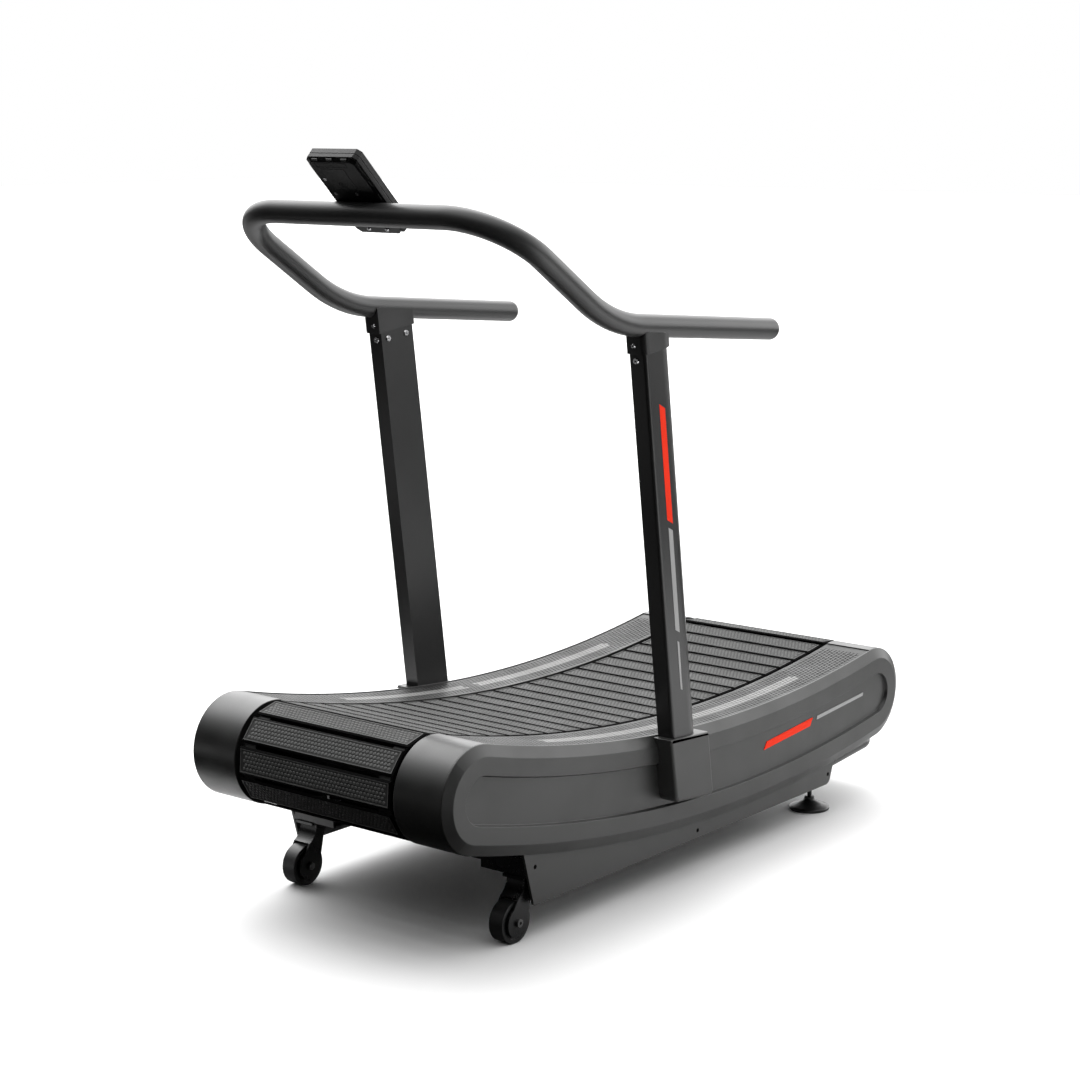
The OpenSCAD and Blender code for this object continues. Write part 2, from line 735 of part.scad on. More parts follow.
module console_mount() color(black)
  console_frame() difference() {
    union() {
      translate([0, -gap, 0]) rotate([90, 0, 0]) linear_extrude(5)
        polygon([[-62, -157], [62, -157], [62, -206], [52, -217], [-52, -217], [-62, -206]]);
      translate([-45, -24, -176]) cube([90, 24 - gap, 14]);
    }
    bar_saddle(bar_r + 0.1);
    for (x = [-25, 25]) translate([x, -8, -205]) rotate([-90, 0, 0]) cylinder(r = 2.6, h = 20);
  }
module console_screws() color(bright)
  console_frame() {
    for (x = [-25, 25]) translate([x, -5.4 - gap, -205]) rotate([-90, 0, 0]) screw(5, 2.2, 9);
    for (p = case_screws) translate([p[0], 0.2 - back_bulge, p[1]]) rotate([-90, 0, 0])
      cylinder(r = case_screw_r, h = 2.6);
  }
button_x = [-44, 0, 44, -44, 0, 44];
button_z = [-140, -140, -140, -176, -176, -176];
button_w = 28;
button_h = 18;
module console_front() color(black)
  console_frame() difference() {
    console_slab(0, seam + 0.1, rim_t);
    difference() {
      console_slab(shell_t, seam - eps, rim_t - shell_t);
      at_bosses() cylinder(r = boss_r, h = rim_t - seam);
    }
    translate([-53, rim_t - 1.4, -103]) cube([106, 5, 88]);
    translate([-48, rim_t - 5, -98]) cube([96, 8, 78]);
    for (i = [0 : 5])
      translate([button_x[i] - button_w / 2 - 0.4, rim_t - 5, button_z[i] - button_h / 2 - 0.4])
        cube([button_w + 0.8, 10, button_h + 0.8]);
  }
module console_lens() color([0.2, 0.22, 0.22])
  console_frame() translate([-52.8, rim_t - 1.3, -102.8]) cube([105.6, 1.2, 87.6]);
module console_display() color([0.45, 0.50, 0.44])
  console_frame() translate([-47.6, rim_t - 5.4, -97.6]) cube([95.2, 3.6, 77.2]);
board_y = 15;
board_t = 1.6;
board_half = 61;
board_bottom = -209;
board_top = -9;
boss_r = 3;
module at_bosses() {
  for (x = [-50, 50], z = [-12, -116])
    translate([x, seam, z]) rotate([-90, 0, 0]) children();
}
module console_board() color([0.05, 0.25, 0.12])
  console_frame() difference() {
    translate([-board_half, board_y, board_bottom]) cube([2 * board_half, board_t, board_top - board_bottom]);
    at_bosses() cylinder(r = boss_r + 0.3, h = rim_t);
  }
module console_batteries() color(bright)
  console_frame() for (x = [13, 31])
    translate([door[0] + x, 5.2, door[1] + 4.5]) cylinder(r = 7.2, h = 50.5);
module battery_cover() color(black)
  console_frame() difference() {
    translate([door[0], -back_bulge + 0.1, door[1]]) cube([door[2], 1.8, door[3]]);
    for (i = [0 : 4]) translate([door[0] + 20, -back_bulge - eps, door[1] + 6 + i * 3])
      cube([20, eps + 0.7, 1.4]);
  }
module button(i) color(bright)
  console_frame() {
    translate([button_x[i] - button_w / 2, board_y + 3.2, button_z[i] - button_h / 2])
      cube([button_w, rim_t + 1.6 - board_y - 3.2, button_h]);
    translate([button_x[i] - button_w / 2 - 2, rim_t - shell_t - 1.8, button_z[i] - button_h / 2 - 2])
      cube([button_w + 4, 1.6, button_h + 4]);
  }
module button_start() button(0);
module button_program() button(1);
module button_stop() button(2);
module button_down() button(3);
module button_enter() button(4);
module button_up() button(5);

// ---------- transport wheels ----------
plate_r = 33;
web_y = -635.2;
web_z = 137;
web_r = 46.2;
fork_web = 4;
web_low = -60;
web_reach = 80;
arm_back = [[-556, 137.5], [-566, 110], [-579, 52]];
module fork_side() {
  difference() {
    union() {
      translate([wheel_y, wheel_r]) circle(r = plate_r);
      polygon(concat([[wheel_y - plate_r + 1, wheel_r + 4]],
        [for (a = [web_low : 10 : 0]) [web_y + web_r * cos(a), web_z + web_r * sin(a)]],
        [[web_y + web_r, arm_back[0][1]]], arm_back));
    }
    translate([wheel_y, wheel_r]) circle(r = wheel_bolt_r + 0.15);
  }
}
module wheel_fork() color(black) {
  along_x(wheel_x - fork_half, wheel_x - fork_half + fork_t) fork_side();
  along_x(wheel_x + fork_half - fork_t, wheel_x + fork_half) fork_side();
  translate([wheel_x - fork_half, -604, web_z]) cube([2 * fork_half, 52, 6]);
  // curved web between the two side plates, ending just above the wheel
  along_x(wheel_x - fork_half, wheel_x + fork_half) translate([web_y, web_z]) intersection() {
    difference() {
      circle(r = web_r + fork_web);
      circle(r = web_r);
    }
    polygon([[0, 0], [web_reach, 0], [web_reach, -web_reach],
      [web_reach * cos(web_low), web_reach * sin(web_low)]]);
  }
}
module wheel_fork_left() wheel_fork();
module wheel_fork_right() other_side() wheel_fork();
module transport_wheel() color(rubber)
  translate([wheel_x - wheel_half, wheel_y, wheel_r]) rotate([0, 90, 0]) difference() {
    cylinder(r = wheel_r, h = 2 * wheel_half);
    translate([0, 0, -eps]) cylinder(r = wheel_bolt_r + fit, h = 2 * wheel_half + 2 * eps);
    for (z = [-eps, 2 * wheel_half - 3]) translate([0, 0, z]) difference() {
      cylinder(r = wheel_r - 9, h = 3 + eps);
      cylinder(r = 13, h = 3 + eps);
    }
  }
module transport_wheel_left() transport_wheel();
module transport_wheel_right() other_side() transport_wheel();
module wheel_bolt() {
  rod_x(wheel_y, wheel_r, wheel_bolt_r, wheel_x - fork_half - 8, wheel_x + fork_half + gap);
  difference() {
    rod_x(wheel_y, wheel_r, 9, wheel_x + fork_half + gap, wheel_x + fork_half + 6);
    translate([wheel_x + fork_half + 3, wheel_y, wheel_r]) rotate([0, 90, 0]) cylinder(r = 4, h = 5, $fn = 6);
  }
  translate([wheel_x - fork_half - 7, wheel_y, wheel_r]) rotate([0, 90, 0])
    cylinder(r = 9, h = 7 - gap, $fn = 6);
}
module wheel_bolts() color(bright) {
  wheel_bolt();
  other_side() wheel_bolt();
}

// ---------- levelling feet ----------
module levelling_foot() color(black)
  translate([foot_x, foot_y, 0]) {
    cylinder(r = pad_r, h = 8);
    translate([0, 0, 8]) cylinder(r1 = pad_r - 2, r2 = 15, h = 16);
    translate([0, 0, 24]) cylinder(r = 12, h = 8);
    translate([0, 0, 32]) cylinder(r = stem_r, h = stem_top - 32);
  }
module levelling_foot_left() levelling_foot();
module levelling_foot_right() other_side() levelling_foot();
module lock_nut() {
  translate([foot_x, foot_y, 0]) difference() {
    union() {
      translate([0, 0, member_rear[2] - 11]) cylinder(r = 11, h = 10.8, $fn = 6);
      translate([0, 0, member_rear[2] - 13]) cylinder(r = 14, h = 2);
    }
    translate([0, 0, 60]) cylinder(r = stem_r + fit, h = 60);
  }
}
module foot_lock_nuts() color(bright) {
  lock_nut();
  other_side() lock_nut();
}

// ---------- speed pick-up ----------
sensor_off = 66;
module speed_sensor() color(black)
  translate([0, front_y, front_z - sensor_off]) {
    translate([213, -9, -9]) cube([frame_in - 213 - 0.1, 18, 18]);
    rod_x(0, 0, 5, 212, 214);
  }
module sensor_magnet() color(bright)
  rod_x(front_y, front_z - sensor_off, 5, carrier_x + carrier_w + 0.05, carrier_x + carrier_w + 3);

// ---------- what is drawn ----------
side_frame_right();
side_frame_left();
guide_bearings_right();
guide_bearings_left();
upper_slats();
upper_carrier_belts();
rear_slats();
rear_carrier_belts();
lower_slats();
lower_carrier_belts();
front_slats();
front_carrier_belts();
front_drum();
rear_drum();
front_bearing_blocks();
rear_bearing_blocks();
base_rail_right();
base_rail_left();
cross_members();
rail_brackets();
lift_handle();
side_cover_right();
side_cover_left();
foot_rail_right();
foot_rail_left();
post_right();
post_left();
post_boot_right();
post_boot_left();
handlebar_socket_right();
handlebar_socket_left();
handlebar();
handlebar_end_caps();
upright_screws();
console_mount();
console_back();
console_front();
console_lens();
console_display();
console_board();
console_batteries();
battery_cover();
console_screws();
button_start();
button_stop();
button_up();
button_down();
button_enter();
button_program();
wheel_fork_right();
wheel_fork_left();
transport_wheel_right();
transport_wheel_left();
wheel_bolts();
levelling_foot_right();
levelling_foot_left();
foot_lock_nuts();
speed_sensor();
sensor_magnet();
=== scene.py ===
"""Looks of the curved manual treadmill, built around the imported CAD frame."""

import json
import math

import bmesh
import bpy
from mathutils import Matrix, Vector


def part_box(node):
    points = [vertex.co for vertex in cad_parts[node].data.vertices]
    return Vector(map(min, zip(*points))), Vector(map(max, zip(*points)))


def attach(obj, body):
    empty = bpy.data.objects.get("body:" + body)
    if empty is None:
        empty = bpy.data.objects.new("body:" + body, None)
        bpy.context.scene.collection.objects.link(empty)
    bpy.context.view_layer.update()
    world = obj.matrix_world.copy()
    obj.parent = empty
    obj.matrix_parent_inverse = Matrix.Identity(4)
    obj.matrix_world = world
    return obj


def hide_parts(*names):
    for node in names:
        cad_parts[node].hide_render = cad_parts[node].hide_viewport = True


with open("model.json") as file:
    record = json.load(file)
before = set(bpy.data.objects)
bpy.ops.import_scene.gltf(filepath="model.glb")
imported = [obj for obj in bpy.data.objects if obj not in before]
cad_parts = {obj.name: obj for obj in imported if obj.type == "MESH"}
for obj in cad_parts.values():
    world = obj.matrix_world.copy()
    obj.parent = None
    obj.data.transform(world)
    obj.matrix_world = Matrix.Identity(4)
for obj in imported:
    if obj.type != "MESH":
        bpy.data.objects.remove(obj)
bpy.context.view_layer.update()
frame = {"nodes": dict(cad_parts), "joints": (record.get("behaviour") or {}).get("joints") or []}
nodes = frame["nodes"]
joints = {j["name"]: j for j in frame["joints"]}

# ---------------------------------------------------------------- frame geometry
_, ARC_Y, ARC_Z = joints["belt_travel"]["pos_m"]
_, FRONT_Y, FRONT_Z = joints["front_drum_turn"]["pos_m"]
_, REAR_Y, REAR_Z = joints["rear_drum_turn"]["pos_m"]
PATH_R = math.hypot(FRONT_Y - ARC_Y, ARC_Z - FRONT_Z)
A_FRONT = math.atan2(FRONT_Y - ARC_Y, ARC_Z - FRONT_Z)
A_REAR = math.atan2(REAR_Y - ARC_Y, ARC_Z - REAR_Z)
# across the machine, from the left-hand nodes: caps start at CAP_X, the cover ends at COVER_X
CAP_X, COVER_X = (corner.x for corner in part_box("side_cover_left"))
RAIL_IN, RAIL_OUT = (corner.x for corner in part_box("foot_rail_left"))
POST_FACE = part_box("post_left")[1].x
LIP_X, BEVEL_X = COVER_X - 0.0146, COVER_X - 0.0116
# distances from the arc that joins the drum centres
COVER_R, SLAT_R, RAIL_TOP = 0.115, 0.113, 0.1114
FACE_R = COVER_R - 0.0245
RECESS_R, RECESS_D, RECESS_RUN = 0.052, 0.008, 0.003
SIDES = (("left", 1), ("right", -1))


def on_arc(a, r):
    """(y, z) at arc angle a, r above the arc that joins the drum centres."""
    return ARC_Y + (PATH_R - r) * math.sin(a), ARC_Z - (PATH_R - r) * math.cos(a)


def round_front(phi, r):
    """(y, z) round the front drum; phi 0 is the bottom tangent and pi the top one."""
    c, s = math.cos(A_FRONT), math.sin(A_FRONT)
    u, v = -math.sin(phi), -math.cos(phi)
    return FRONT_Y + r * (u * c - v * s), FRONT_Z + r * (u * s + v * c)


def round_rear(phi, r):
    """(y, z) round the rear drum; phi 0 is the top tangent and pi the bottom one."""
    c, s = math.cos(A_REAR), math.sin(A_REAR)
    u, v = math.sin(phi), math.cos(phi)
    return REAR_Y + r * (u * c - v * s), REAR_Z + r * (u * s + v * c)


def outline(r, along=72, around=28):
    """Closed loop of (y, z) at distance r from the drum-centre arc."""
    pts = [on_arc(A_FRONT + (A_REAR - A_FRONT) * i / along, r) for i in range(along + 1)]
    pts += [round_rear(math.pi * i / around, r) for i in range(1, around)]
    pts += [on_arc(A_REAR + (A_FRONT - A_REAR) * i / along, -r) for i in range(along + 1)]
    pts += [round_front(math.pi * i / around, r) for i in range(1, around)]
    return pts


def fillet(points, radii, steps=4):
    """Polyline with its corners rounded."""
    out = []
    last = len(points) - 1
    for i, (p, r) in enumerate(zip(points, radii)):
        if r <= 0 or i in (0, last):
            out.append(tuple(p))
            continue
        p, a, b = Vector(p), Vector(points[i - 1]), Vector(points[i + 1])
        da, db = (a - p).normalized(), (b - p).normalized()
        turn = math.pi - da.angle(db)
        reach = min(r * math.tan(turn / 2), (a - p).length * 0.49, (b - p).length * 0.49)
        s, e = p + da * reach, p + db * reach
        for k in range(steps + 1):
            t = k / steps
            out.append(tuple((1 - t) ** 2 * s + 2 * t * (1 - t) * p + t * t * e))
    return out


# ---------------------------------------------------------------- materials
def remap(tree, value, source, target, smooth=False):
    """The socket of a map-range node that takes the source pair to the target pair."""
    node = tree.nodes.new("ShaderNodeMapRange")
    if smooth:
        node.interpolation_type = "SMOOTHSTEP"
    node.inputs["From Min"].default_value, node.inputs["From Max"].default_value = source
    node.inputs["To Min"].default_value, node.inputs["To Max"].default_value = target
    tree.links.new(value, node.inputs["Value"])
    return node.outputs["Result"]


def combine(tree, operation, a, b):
    """The socket of a maths node on two sockets."""
    node = tree.nodes.new("ShaderNodeMath")
    node.operation = operation
    tree.links.new(a, node.inputs[0])
    tree.links.new(b, node.inputs[1])
    return node.outputs["Value"]


def noise(tree, scale, detail=2.0):
    node = tree.nodes.new("ShaderNodeTexNoise")
    node.inputs["Scale"].default_value = scale
    node.inputs["Detail"].default_value = detail
    return node


def float_mix(tree, factor, a, b):
    """The socket of a mix node: a socket seen by everything but the camera, a number seen by the camera."""
    node = tree.nodes.new("ShaderNodeMix")
    node.data_type = "FLOAT"
    tree.links.new(factor, node.inputs["Factor"])
    tree.links.new(a, node.inputs["A"])
    node.inputs["B"].default_value = b
    return node.outputs["Result"]


NOISE_SPAN = (0.3, 0.7)
EDGE_SPAN = (0.53, 0.60)
RELIEF_HEIGHT = 0.0004


def surface(name, colour, rough, metal=0.0, grain=900.0, bump=0.12, mottle=0.06, wear=0.25, edge=0.0,
            spread=0.07, coat=0.0, spec=0.5, brushed=None):
    """A worked-on surface: fine grain in bump, slow variation in colour and roughness, worn edges."""
    m = bpy.data.materials.new(name)
    m.use_nodes = True
    tree = m.node_tree
    link = tree.links.new
    shader = tree.nodes["Principled BSDF"]
    shader.inputs["Metallic"].default_value = metal
    shader.inputs["Coat Weight"].default_value = coat
    shader.inputs["Coat Roughness"].default_value = 0.25
    shader.inputs["Specular IOR Level"].default_value = spec
    where = tree.nodes.new("ShaderNodeTexCoord").outputs["Object"]
    slow = noise(tree, 9.0, 4.0)
    fine = noise(tree, grain, 3.0)
    link(where, slow.inputs["Vector"])
    if brushed:
        stretch = tree.nodes.new("ShaderNodeMapping")
        stretch.inputs["Scale"].default_value = brushed
        link(where, stretch.inputs["Vector"])
        link(stretch.outputs["Vector"], fine.inputs["Vector"])
    else:
        link(where, fine.inputs["Vector"])
    # colour: slow mottling times fine grain, then lighter worn edges
    varied = (1.0 - mottle, 1.0 + mottle)
    tone = combine(tree, "MULTIPLY", remap(tree, slow.outputs["Fac"], NOISE_SPAN, varied),
                   remap(tree, fine.outputs["Fac"], NOISE_SPAN, varied))
    tint = tree.nodes.new("ShaderNodeVectorMath")
    tint.operation = "SCALE"
    tint.inputs[0].default_value = colour
    link(tone, tint.inputs["Scale"])
    last = tint.outputs["Vector"]
    if wear > 0:
        geometry = tree.nodes.new("ShaderNodeNewGeometry")
        mix = tree.nodes.new("ShaderNodeMix")
        mix.data_type = "RGBA"
        link(remap(tree, geometry.outputs["Pointiness"], EDGE_SPAN, (0.0, wear)), mix.inputs["Factor"])
        link(last, mix.inputs["A"])
        mix.inputs["B"].default_value = tuple(min(1.0, c * 2.2 + 0.02) for c in colour) + (1.0,)
        last = mix.outputs["Result"]
    link(last, shader.inputs["Base Color"])
    polish = (max(0.02, rough - spread), min(1.0, rough + spread))
    link(remap(tree, slow.outputs["Fac"], NOISE_SPAN, polish), shader.inputs["Roughness"])
    relief = tree.nodes.new("ShaderNodeBump")
    relief.inputs["Strength"].default_value = bump
    relief.inputs["Distance"].default_value = RELIEF_HEIGHT
    link(fine.outputs["Fac"], relief.inputs["Height"])
    if edge > 0:
        soft = tree.nodes.new("ShaderNodeBevel")
        soft.samples = 4
        soft.inputs["Radius"].default_value = edge
        link(soft.outputs["Normal"], relief.inputs["Normal"])
    link(relief.outputs["Normal"], shader.inputs["Normal"])
    return m


COVER = surface("cover_plastic", (0.025, 0.0253, 0.0243), 0.40,
                grain=1500, bump=0.16, mottle=0.05, wear=0.10)
# a darker copy of the cover plastic: painted shade on the caps and on the cover faces turned forward
CAP_SHADE = surface("cap_plastic_painted_shade", (0.013, 0.0132, 0.0128), 0.36,
              grain=1500, bump=0.14, mottle=0.05, wear=0.0)
PAD = surface("pad_plastic", (0.014, 0.0142, 0.0138), 0.50,
              grain=1500, bump=0.2, mottle=0.06, wear=0.0, spec=0.30)
GROOVE = surface("groove", (0.0015, 0.0015, 0.0015), 0.9, wear=0.0, spec=0.0)
PAINT = surface("frame_paint", (0.012, 0.012, 0.0122), 0.30,
                grain=1100, bump=0.10, mottle=0.03, wear=0.0, spread=0.01)
BAR = surface("bar_paint", (0.028, 0.028, 0.0282), 0.40,
              grain=1100, bump=0.10, mottle=0.03, wear=0.0, spread=0.01)
CAST = surface("cast_paint", (0.024, 0.0243, 0.0234), 0.40,
               grain=1000, bump=0.16, mottle=0.05, wear=0.10)
SOCKET = surface("socket_paint", (0.012, 0.012, 0.0122), 0.34,
                 grain=1000, bump=0.14, mottle=0.05, wear=0.10, edge=0.0009)
BLACK = surface("black_paint", (0.004, 0.004, 0.0042), 0.28,
                grain=1100, bump=0.10, mottle=0.08, wear=0.15, edge=0.0008)
TREAD = surface("slat_tread", (0.064, 0.0644, 0.0630), 0.58,
                grain=1300, bump=0.25, mottle=0.08, wear=0.0, spec=0.32)
# near-black painted shade on the slat sides, chamfers and undersides and on the rings inside the caps, so
# the gaps beside them read dark
PAINTED_GAP_SHADE = surface("plank_edge_painted_shade", (0.0015, 0.0015, 0.0015), 0.8,
                grain=1300, bump=0.15, mottle=0.06, wear=0.0, spec=0.05)
# a darker copy of the tread: painted shade in the sunk field between the studs
VALLEY_SHADE = surface("slat_valley_painted_shade", (0.030, 0.0302, 0.0297), 0.7,
                 grain=1300, bump=0.2, mottle=0.06, wear=0.0, spec=0.15)
BOLT = surface("wheel_bolt", (0.16, 0.16, 0.16), 0.34,
               metal=1.0, grain=500, bump=0.08, mottle=0.06, wear=0.0, edge=0.0005)
BELT = surface("carrier_rubber", (0.012, 0.012, 0.012), 0.75, grain=700, bump=0.3, mottle=0.1, wear=0.0)
STEEL = surface("steel", (0.45, 0.45, 0.46), 0.32,
                metal=1.0, grain=260, bump=0.08, mottle=0.06, wear=0.0, brushed=(1.0, 14.0, 14.0),
                edge=0.0005)
SCREW = surface("screw_steel", (0.62, 0.62, 0.63), 0.24,
                metal=1.0, grain=500, bump=0.06, mottle=0.05, wear=0.0, edge=0.0004)
WHEEL = surface("wheel_rubber", (0.006, 0.006, 0.0062), 0.40,
                grain=800, bump=0.14, mottle=0.10, wear=0.15, edge=0.0015)
SHELL = surface("black_plastic", (0.003, 0.003, 0.0032), 0.38,
                grain=1700, bump=0.20, mottle=0.06, wear=0.0, spec=0.25)
SHELL_CAD = surface("black_plastic_cad", (0.004, 0.004, 0.0042), 0.42,
                    grain=1700, bump=0.20, mottle=0.06, wear=0.10, edge=0.0008, spec=0.35)
BOARD = surface("board", (0.010, 0.085, 0.035), 0.35, grain=600, bump=0.1, wear=0.0, coat=0.4)
CELL = surface("battery", (0.40, 0.27, 0.05), 0.3, metal=0.6, grain=500, bump=0.05, wear=0.0)
KEY = surface("button_rubber", (0.30, 0.30, 0.31), 0.55,
              grain=1400, bump=0.15, mottle=0.04, wear=0.0, edge=0.0008)
MARK = surface("key_mark", (0.02, 0.02, 0.022), 0.5, grain=1400, bump=0.1, wear=0.0)
LCD = surface("display", (0.22, 0.25, 0.19), 0.22,
              grain=1600, bump=0.02, mottle=0.02, wear=0.0, coat=0.3)
FOOT = surface("foot_black", (0.005, 0.005, 0.0052), 0.34, grain=900, bump=0.14, mottle=0.08, wear=0.1)
RED = surface("accent_red", (0.95, 0.030, 0.004), 0.50,
              grain=1500, bump=0.12, mottle=0.04, wear=0.0, spec=0.1)
PALE = surface("accent_grey", (0.33, 0.33, 0.33), 0.45, grain=1500, bump=0.12, mottle=0.04, wear=0.0)
LIGHT_PAD = surface("pad_light", (0.16, 0.16, 0.157), 0.50,
                    grain=1500, bump=0.2, mottle=0.06, wear=0.0, spec=0.42)

LENS = bpy.data.materials.new("lens")
LENS.use_nodes = True
lens_tree = LENS.node_tree
lens_shader = lens_tree.nodes["Principled BSDF"]
lens_shader.inputs["Base Color"].default_value = (0.9, 0.92, 0.92, 1)
lens_shader.inputs["Transmission Weight"].default_value = 1.0
lens_shader.inputs["IOR"].default_value = 1.45
smears = remap(lens_tree, noise(lens_tree, 14.0).outputs["Fac"], (0.0, 1.0), (0.03, 0.10))
lens_tree.links.new(smears, lens_shader.inputs["Roughness"])


# ---------------------------------------------------------------- mesh helpers
def piece(name, verts, faces, material, body, sharp=35.0, weighted=True):
    """A mesh object in the row frame, smooth except across sharp edges, riding on a body."""
    me = bpy.data.meshes.new(name)
    me.from_pydata(verts, [], faces)
    bm = bmesh.new()
    bm.from_mesh(me)
    bmesh.ops.remove_doubles(bm, verts=bm.verts, dist=2e-6)
    bmesh.ops.recalc_face_normals(bm, faces=bm.faces)
    limit = math.radians(sharp)
    for f in bm.faces:
        f.smooth = True
    for e in bm.edges:
        e.smooth = len(e.link_faces) == 2 and e.calc_face_angle(0.0) < limit
    bm.to_mesh(me)
    bm.free()
    o = bpy.data.objects.new(name, me)
    bpy.context.scene.collection.objects.link(o)
    me.materials.append(material)
    if weighted:
        even = o.modifiers.new("even_normals", "WEIGHTED_NORMAL")
        even.keep_sharp = True
    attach(o, body)
    return o


def raw(name, verts, faces, material, body):
    """A mesh as given, flat shaded, for the many small studs."""
    me = bpy.data.meshes.new(name)
    me.from_pydata(verts, [], faces)
    me.materials.append(material)
    o = bpy.data.objects.new(name, me)
    bpy.context.scene.collection.objects.link(o)
    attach(o, body)
    return o


def rings(loops, closed_ring, closed_loop):
    """Vertices and quads through equal-length loops.

    closed_ring joins each loop's ends, closed_loop joins the first and last loop.
    """
    n = len(loops[0])
    verts = [v for loop in loops for v in loop]
    faces = []
    m = len(loops)
    for i in range(m if closed_loop else m - 1):
        for k in range(n if closed_ring else n - 1):
            a, b = i * n + k, i * n + (k + 1) % n
            c, d = ((i + 1) % m) * n + (k + 1) % n, ((i + 1) % m) * n + k
            faces.append((a, b, c, d))
    return verts, faces


def closed_sweep(profile, side):
    """A closed (x, r) profile carried right round the deck outline."""
    loops = [[(side * x, y, z) for y, z in outline(r)] for x, r in profile]
    return rings(loops, True, False)


def open_sweep(profile, stations, side):
    """A closed (x, r) profile through stations, each a function of r giving (y, z), with end faces."""
    loops = [[(side * x, *at(r)) for x, r in profile] for at in stations]
    verts, faces = rings(loops, True, False)
    n = len(profile)
    faces.append(tuple(range(n - 1, -1, -1)))
    faces.append(tuple(range(len(verts) - n, len(verts))))
    return verts, faces


def join(parts):
    """Several (verts, faces) as one."""
    verts, faces = [], []
    for v, f in parts:
        base = len(verts)
        verts += v
        faces += [tuple(i + base for i in face) for face in f]
    return verts, faces


def block(x0, x1, y0, y1, z0, z1, place=None, cut=0.0):
    """A box with its top edges cut back by cut, its corners sent through place(x, y, z)."""
    place = place or (lambda x, y, z: (x, y, z))
    low = [(x0, y0), (x1, y0), (x1, y1), (x0, y1)]
    top = [(x0 + cut, y0 + cut), (x1 - cut, y0 + cut), (x1 - cut, y1 - cut), (x0 + cut, y1 - cut)]
    loops = [[(x, y, z0) for x, y in low], [(x, y, z1 - cut) for x, y in low]]
    if cut > 0:
        loops.append([(x, y, z1) for x, y in top])
    verts, faces = rings([[place(*p) for p in loop] for loop in loops], True, False)
    n = len(verts)
    faces += [(3, 2, 1, 0), (n - 4, n - 3, n - 2, n - 1)]
    return verts, faces


def lathe(profile, centre, steps=48):
    """A profile of (radius, height) turned about the vertical through centre."""
    loops = []
    for k in range(steps):
        a = 2 * math.pi * k / steps
        c, s = math.cos(a), math.sin(a)
        loops.append([(centre[0] + r * c, centre[1] + r * s, centre[2] + h) for r, h in profile])
    return rings(loops, False, True)


# ---------------------------------------------------------------- side covers
CAP_STEPS = 40
# a near-black ring inside each cap, facing the belt: painted shade inside the cap
WALL_IN, WALL_OUT, WALL_LOW, WALL_TOP = CAP_X + 0.0012, CAP_X + 0.0030, 0.088, 0.1128
# cover faces whose normal has a lower y than this take the caps' darker colour: painted shade on the faces
# turned forward
FORWARD_SHADE_Y = -0.25
outer = fillet(
    [(LIP_X, 0.104), (LIP_X, COVER_R), (BEVEL_X, COVER_R), (COVER_X, FACE_R), (COVER_X, RECESS_R),
     (COVER_X - RECESS_D, RECESS_R - RECESS_RUN), (COVER_X - RECESS_D, 0.030)],
    [0, 0.0010, 0.0040, 0.0060, 0.0012, 0.0014, 0])
outer += [(COVER_X - RECESS_D, 0.012), (COVER_X - RECESS_D, 0.0)]
inner = [(COVER_X - 0.011, 0.0), (COVER_X - 0.011, 0.055), (COVER_X - 0.003, 0.055),
         (COVER_X - 0.003, 0.0875), (BEVEL_X, 0.104), (LIP_X, 0.104)]
cap_profile = fillet(
    [(LIP_X, 0.112), (LIP_X, COVER_R), (CAP_X, COVER_R), (CAP_X, 0.112), (LIP_X, 0.112)],
    [0, 0, 0.0028, 0, 0])[:-1]
for side, s in SIDES:
    shell = closed_sweep(inner + outer, s)
    front = [lambda r, p=math.pi * i / CAP_STEPS: round_front(p, r) for i in range(CAP_STEPS + 1)]
    rear = [lambda r, p=math.pi * i / CAP_STEPS: round_rear(p, r) for i in range(CAP_STEPS + 1)]
    wall_profile = [(WALL_IN, WALL_LOW), (WALL_IN, WALL_TOP), (WALL_OUT, WALL_TOP), (WALL_OUT, WALL_LOW)]
    walls = [open_sweep(wall_profile, stations, s) for stations in (front, rear)]
    caps = [open_sweep(cap_profile, stations, s) for stations in (front, rear)]
    o = piece("side_cover_%s_skin" % side, *join([shell] + caps + walls), COVER, "frame", sharp=40)
    # the caps take the darker copy of the cover plastic as painted shade
    o.data.materials.append(CAP_SHADE)
    # the rings inside the caps take the near-black painted shade
    o.data.materials.append(PAINTED_GAP_SHADE)
    marks = [0] * len(shell[1])
    for mark, parts in ((1, caps), (2, walls)):
        marks += [mark] * sum(len(faces) for _, faces in parts)
    o.data.polygons.foreach_set("material_index", marks)
    # painted shade: cover faces turned forward take the caps' darker colour
    for poly in o.data.polygons:
        if poly.material_index == 0 and poly.normal.y < FORWARD_SHADE_Y:
            poly.material_index = 1
    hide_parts("side_cover_" + side)

# ---------------------------------------------------------------- foot rails with a laid brick relief
PAD_TOP = RAIL_TOP + 0.0013
PAD_DEPTH, BRICK_SINK, BRICK_EDGE = 0.004, 0.0002, 0.0004
ROWS, BRICK, JOINT = 11, 0.0135, 0.0016
# the last brick of a row takes up what is left, from this share of a brick before the end
LAST_SHARE = (0.4, 0.9)
FIELD_IN, FIELD_OUT = RAIL_IN + 0.0052, RAIL_OUT - 0.0062
FIELD_A0 = A_FRONT + 0.004 / PATH_R
FIELD_A1 = A_REAR - 0.030 / PATH_R
LIGHT_ROWS = (4, 5, 6)
LIGHT_RUNS = ((-0.185, -0.070), (-0.058, 0.084))


def strip(x0, x1, r1, a0, a1, n, side):
    """A band of the pad from PAD_DEPTH below the rail's top up to r1, along n steps of the arc."""
    profile = [(x0, RAIL_TOP - PAD_DEPTH), (x0, r1), (x1, r1), (x1, RAIL_TOP - PAD_DEPTH)]
    stations = [lambda r, a=a0 + (a1 - a0) * i / n: on_arc(a, r) for i in range(n + 1)]
    return open_sweep(profile, stations, side)


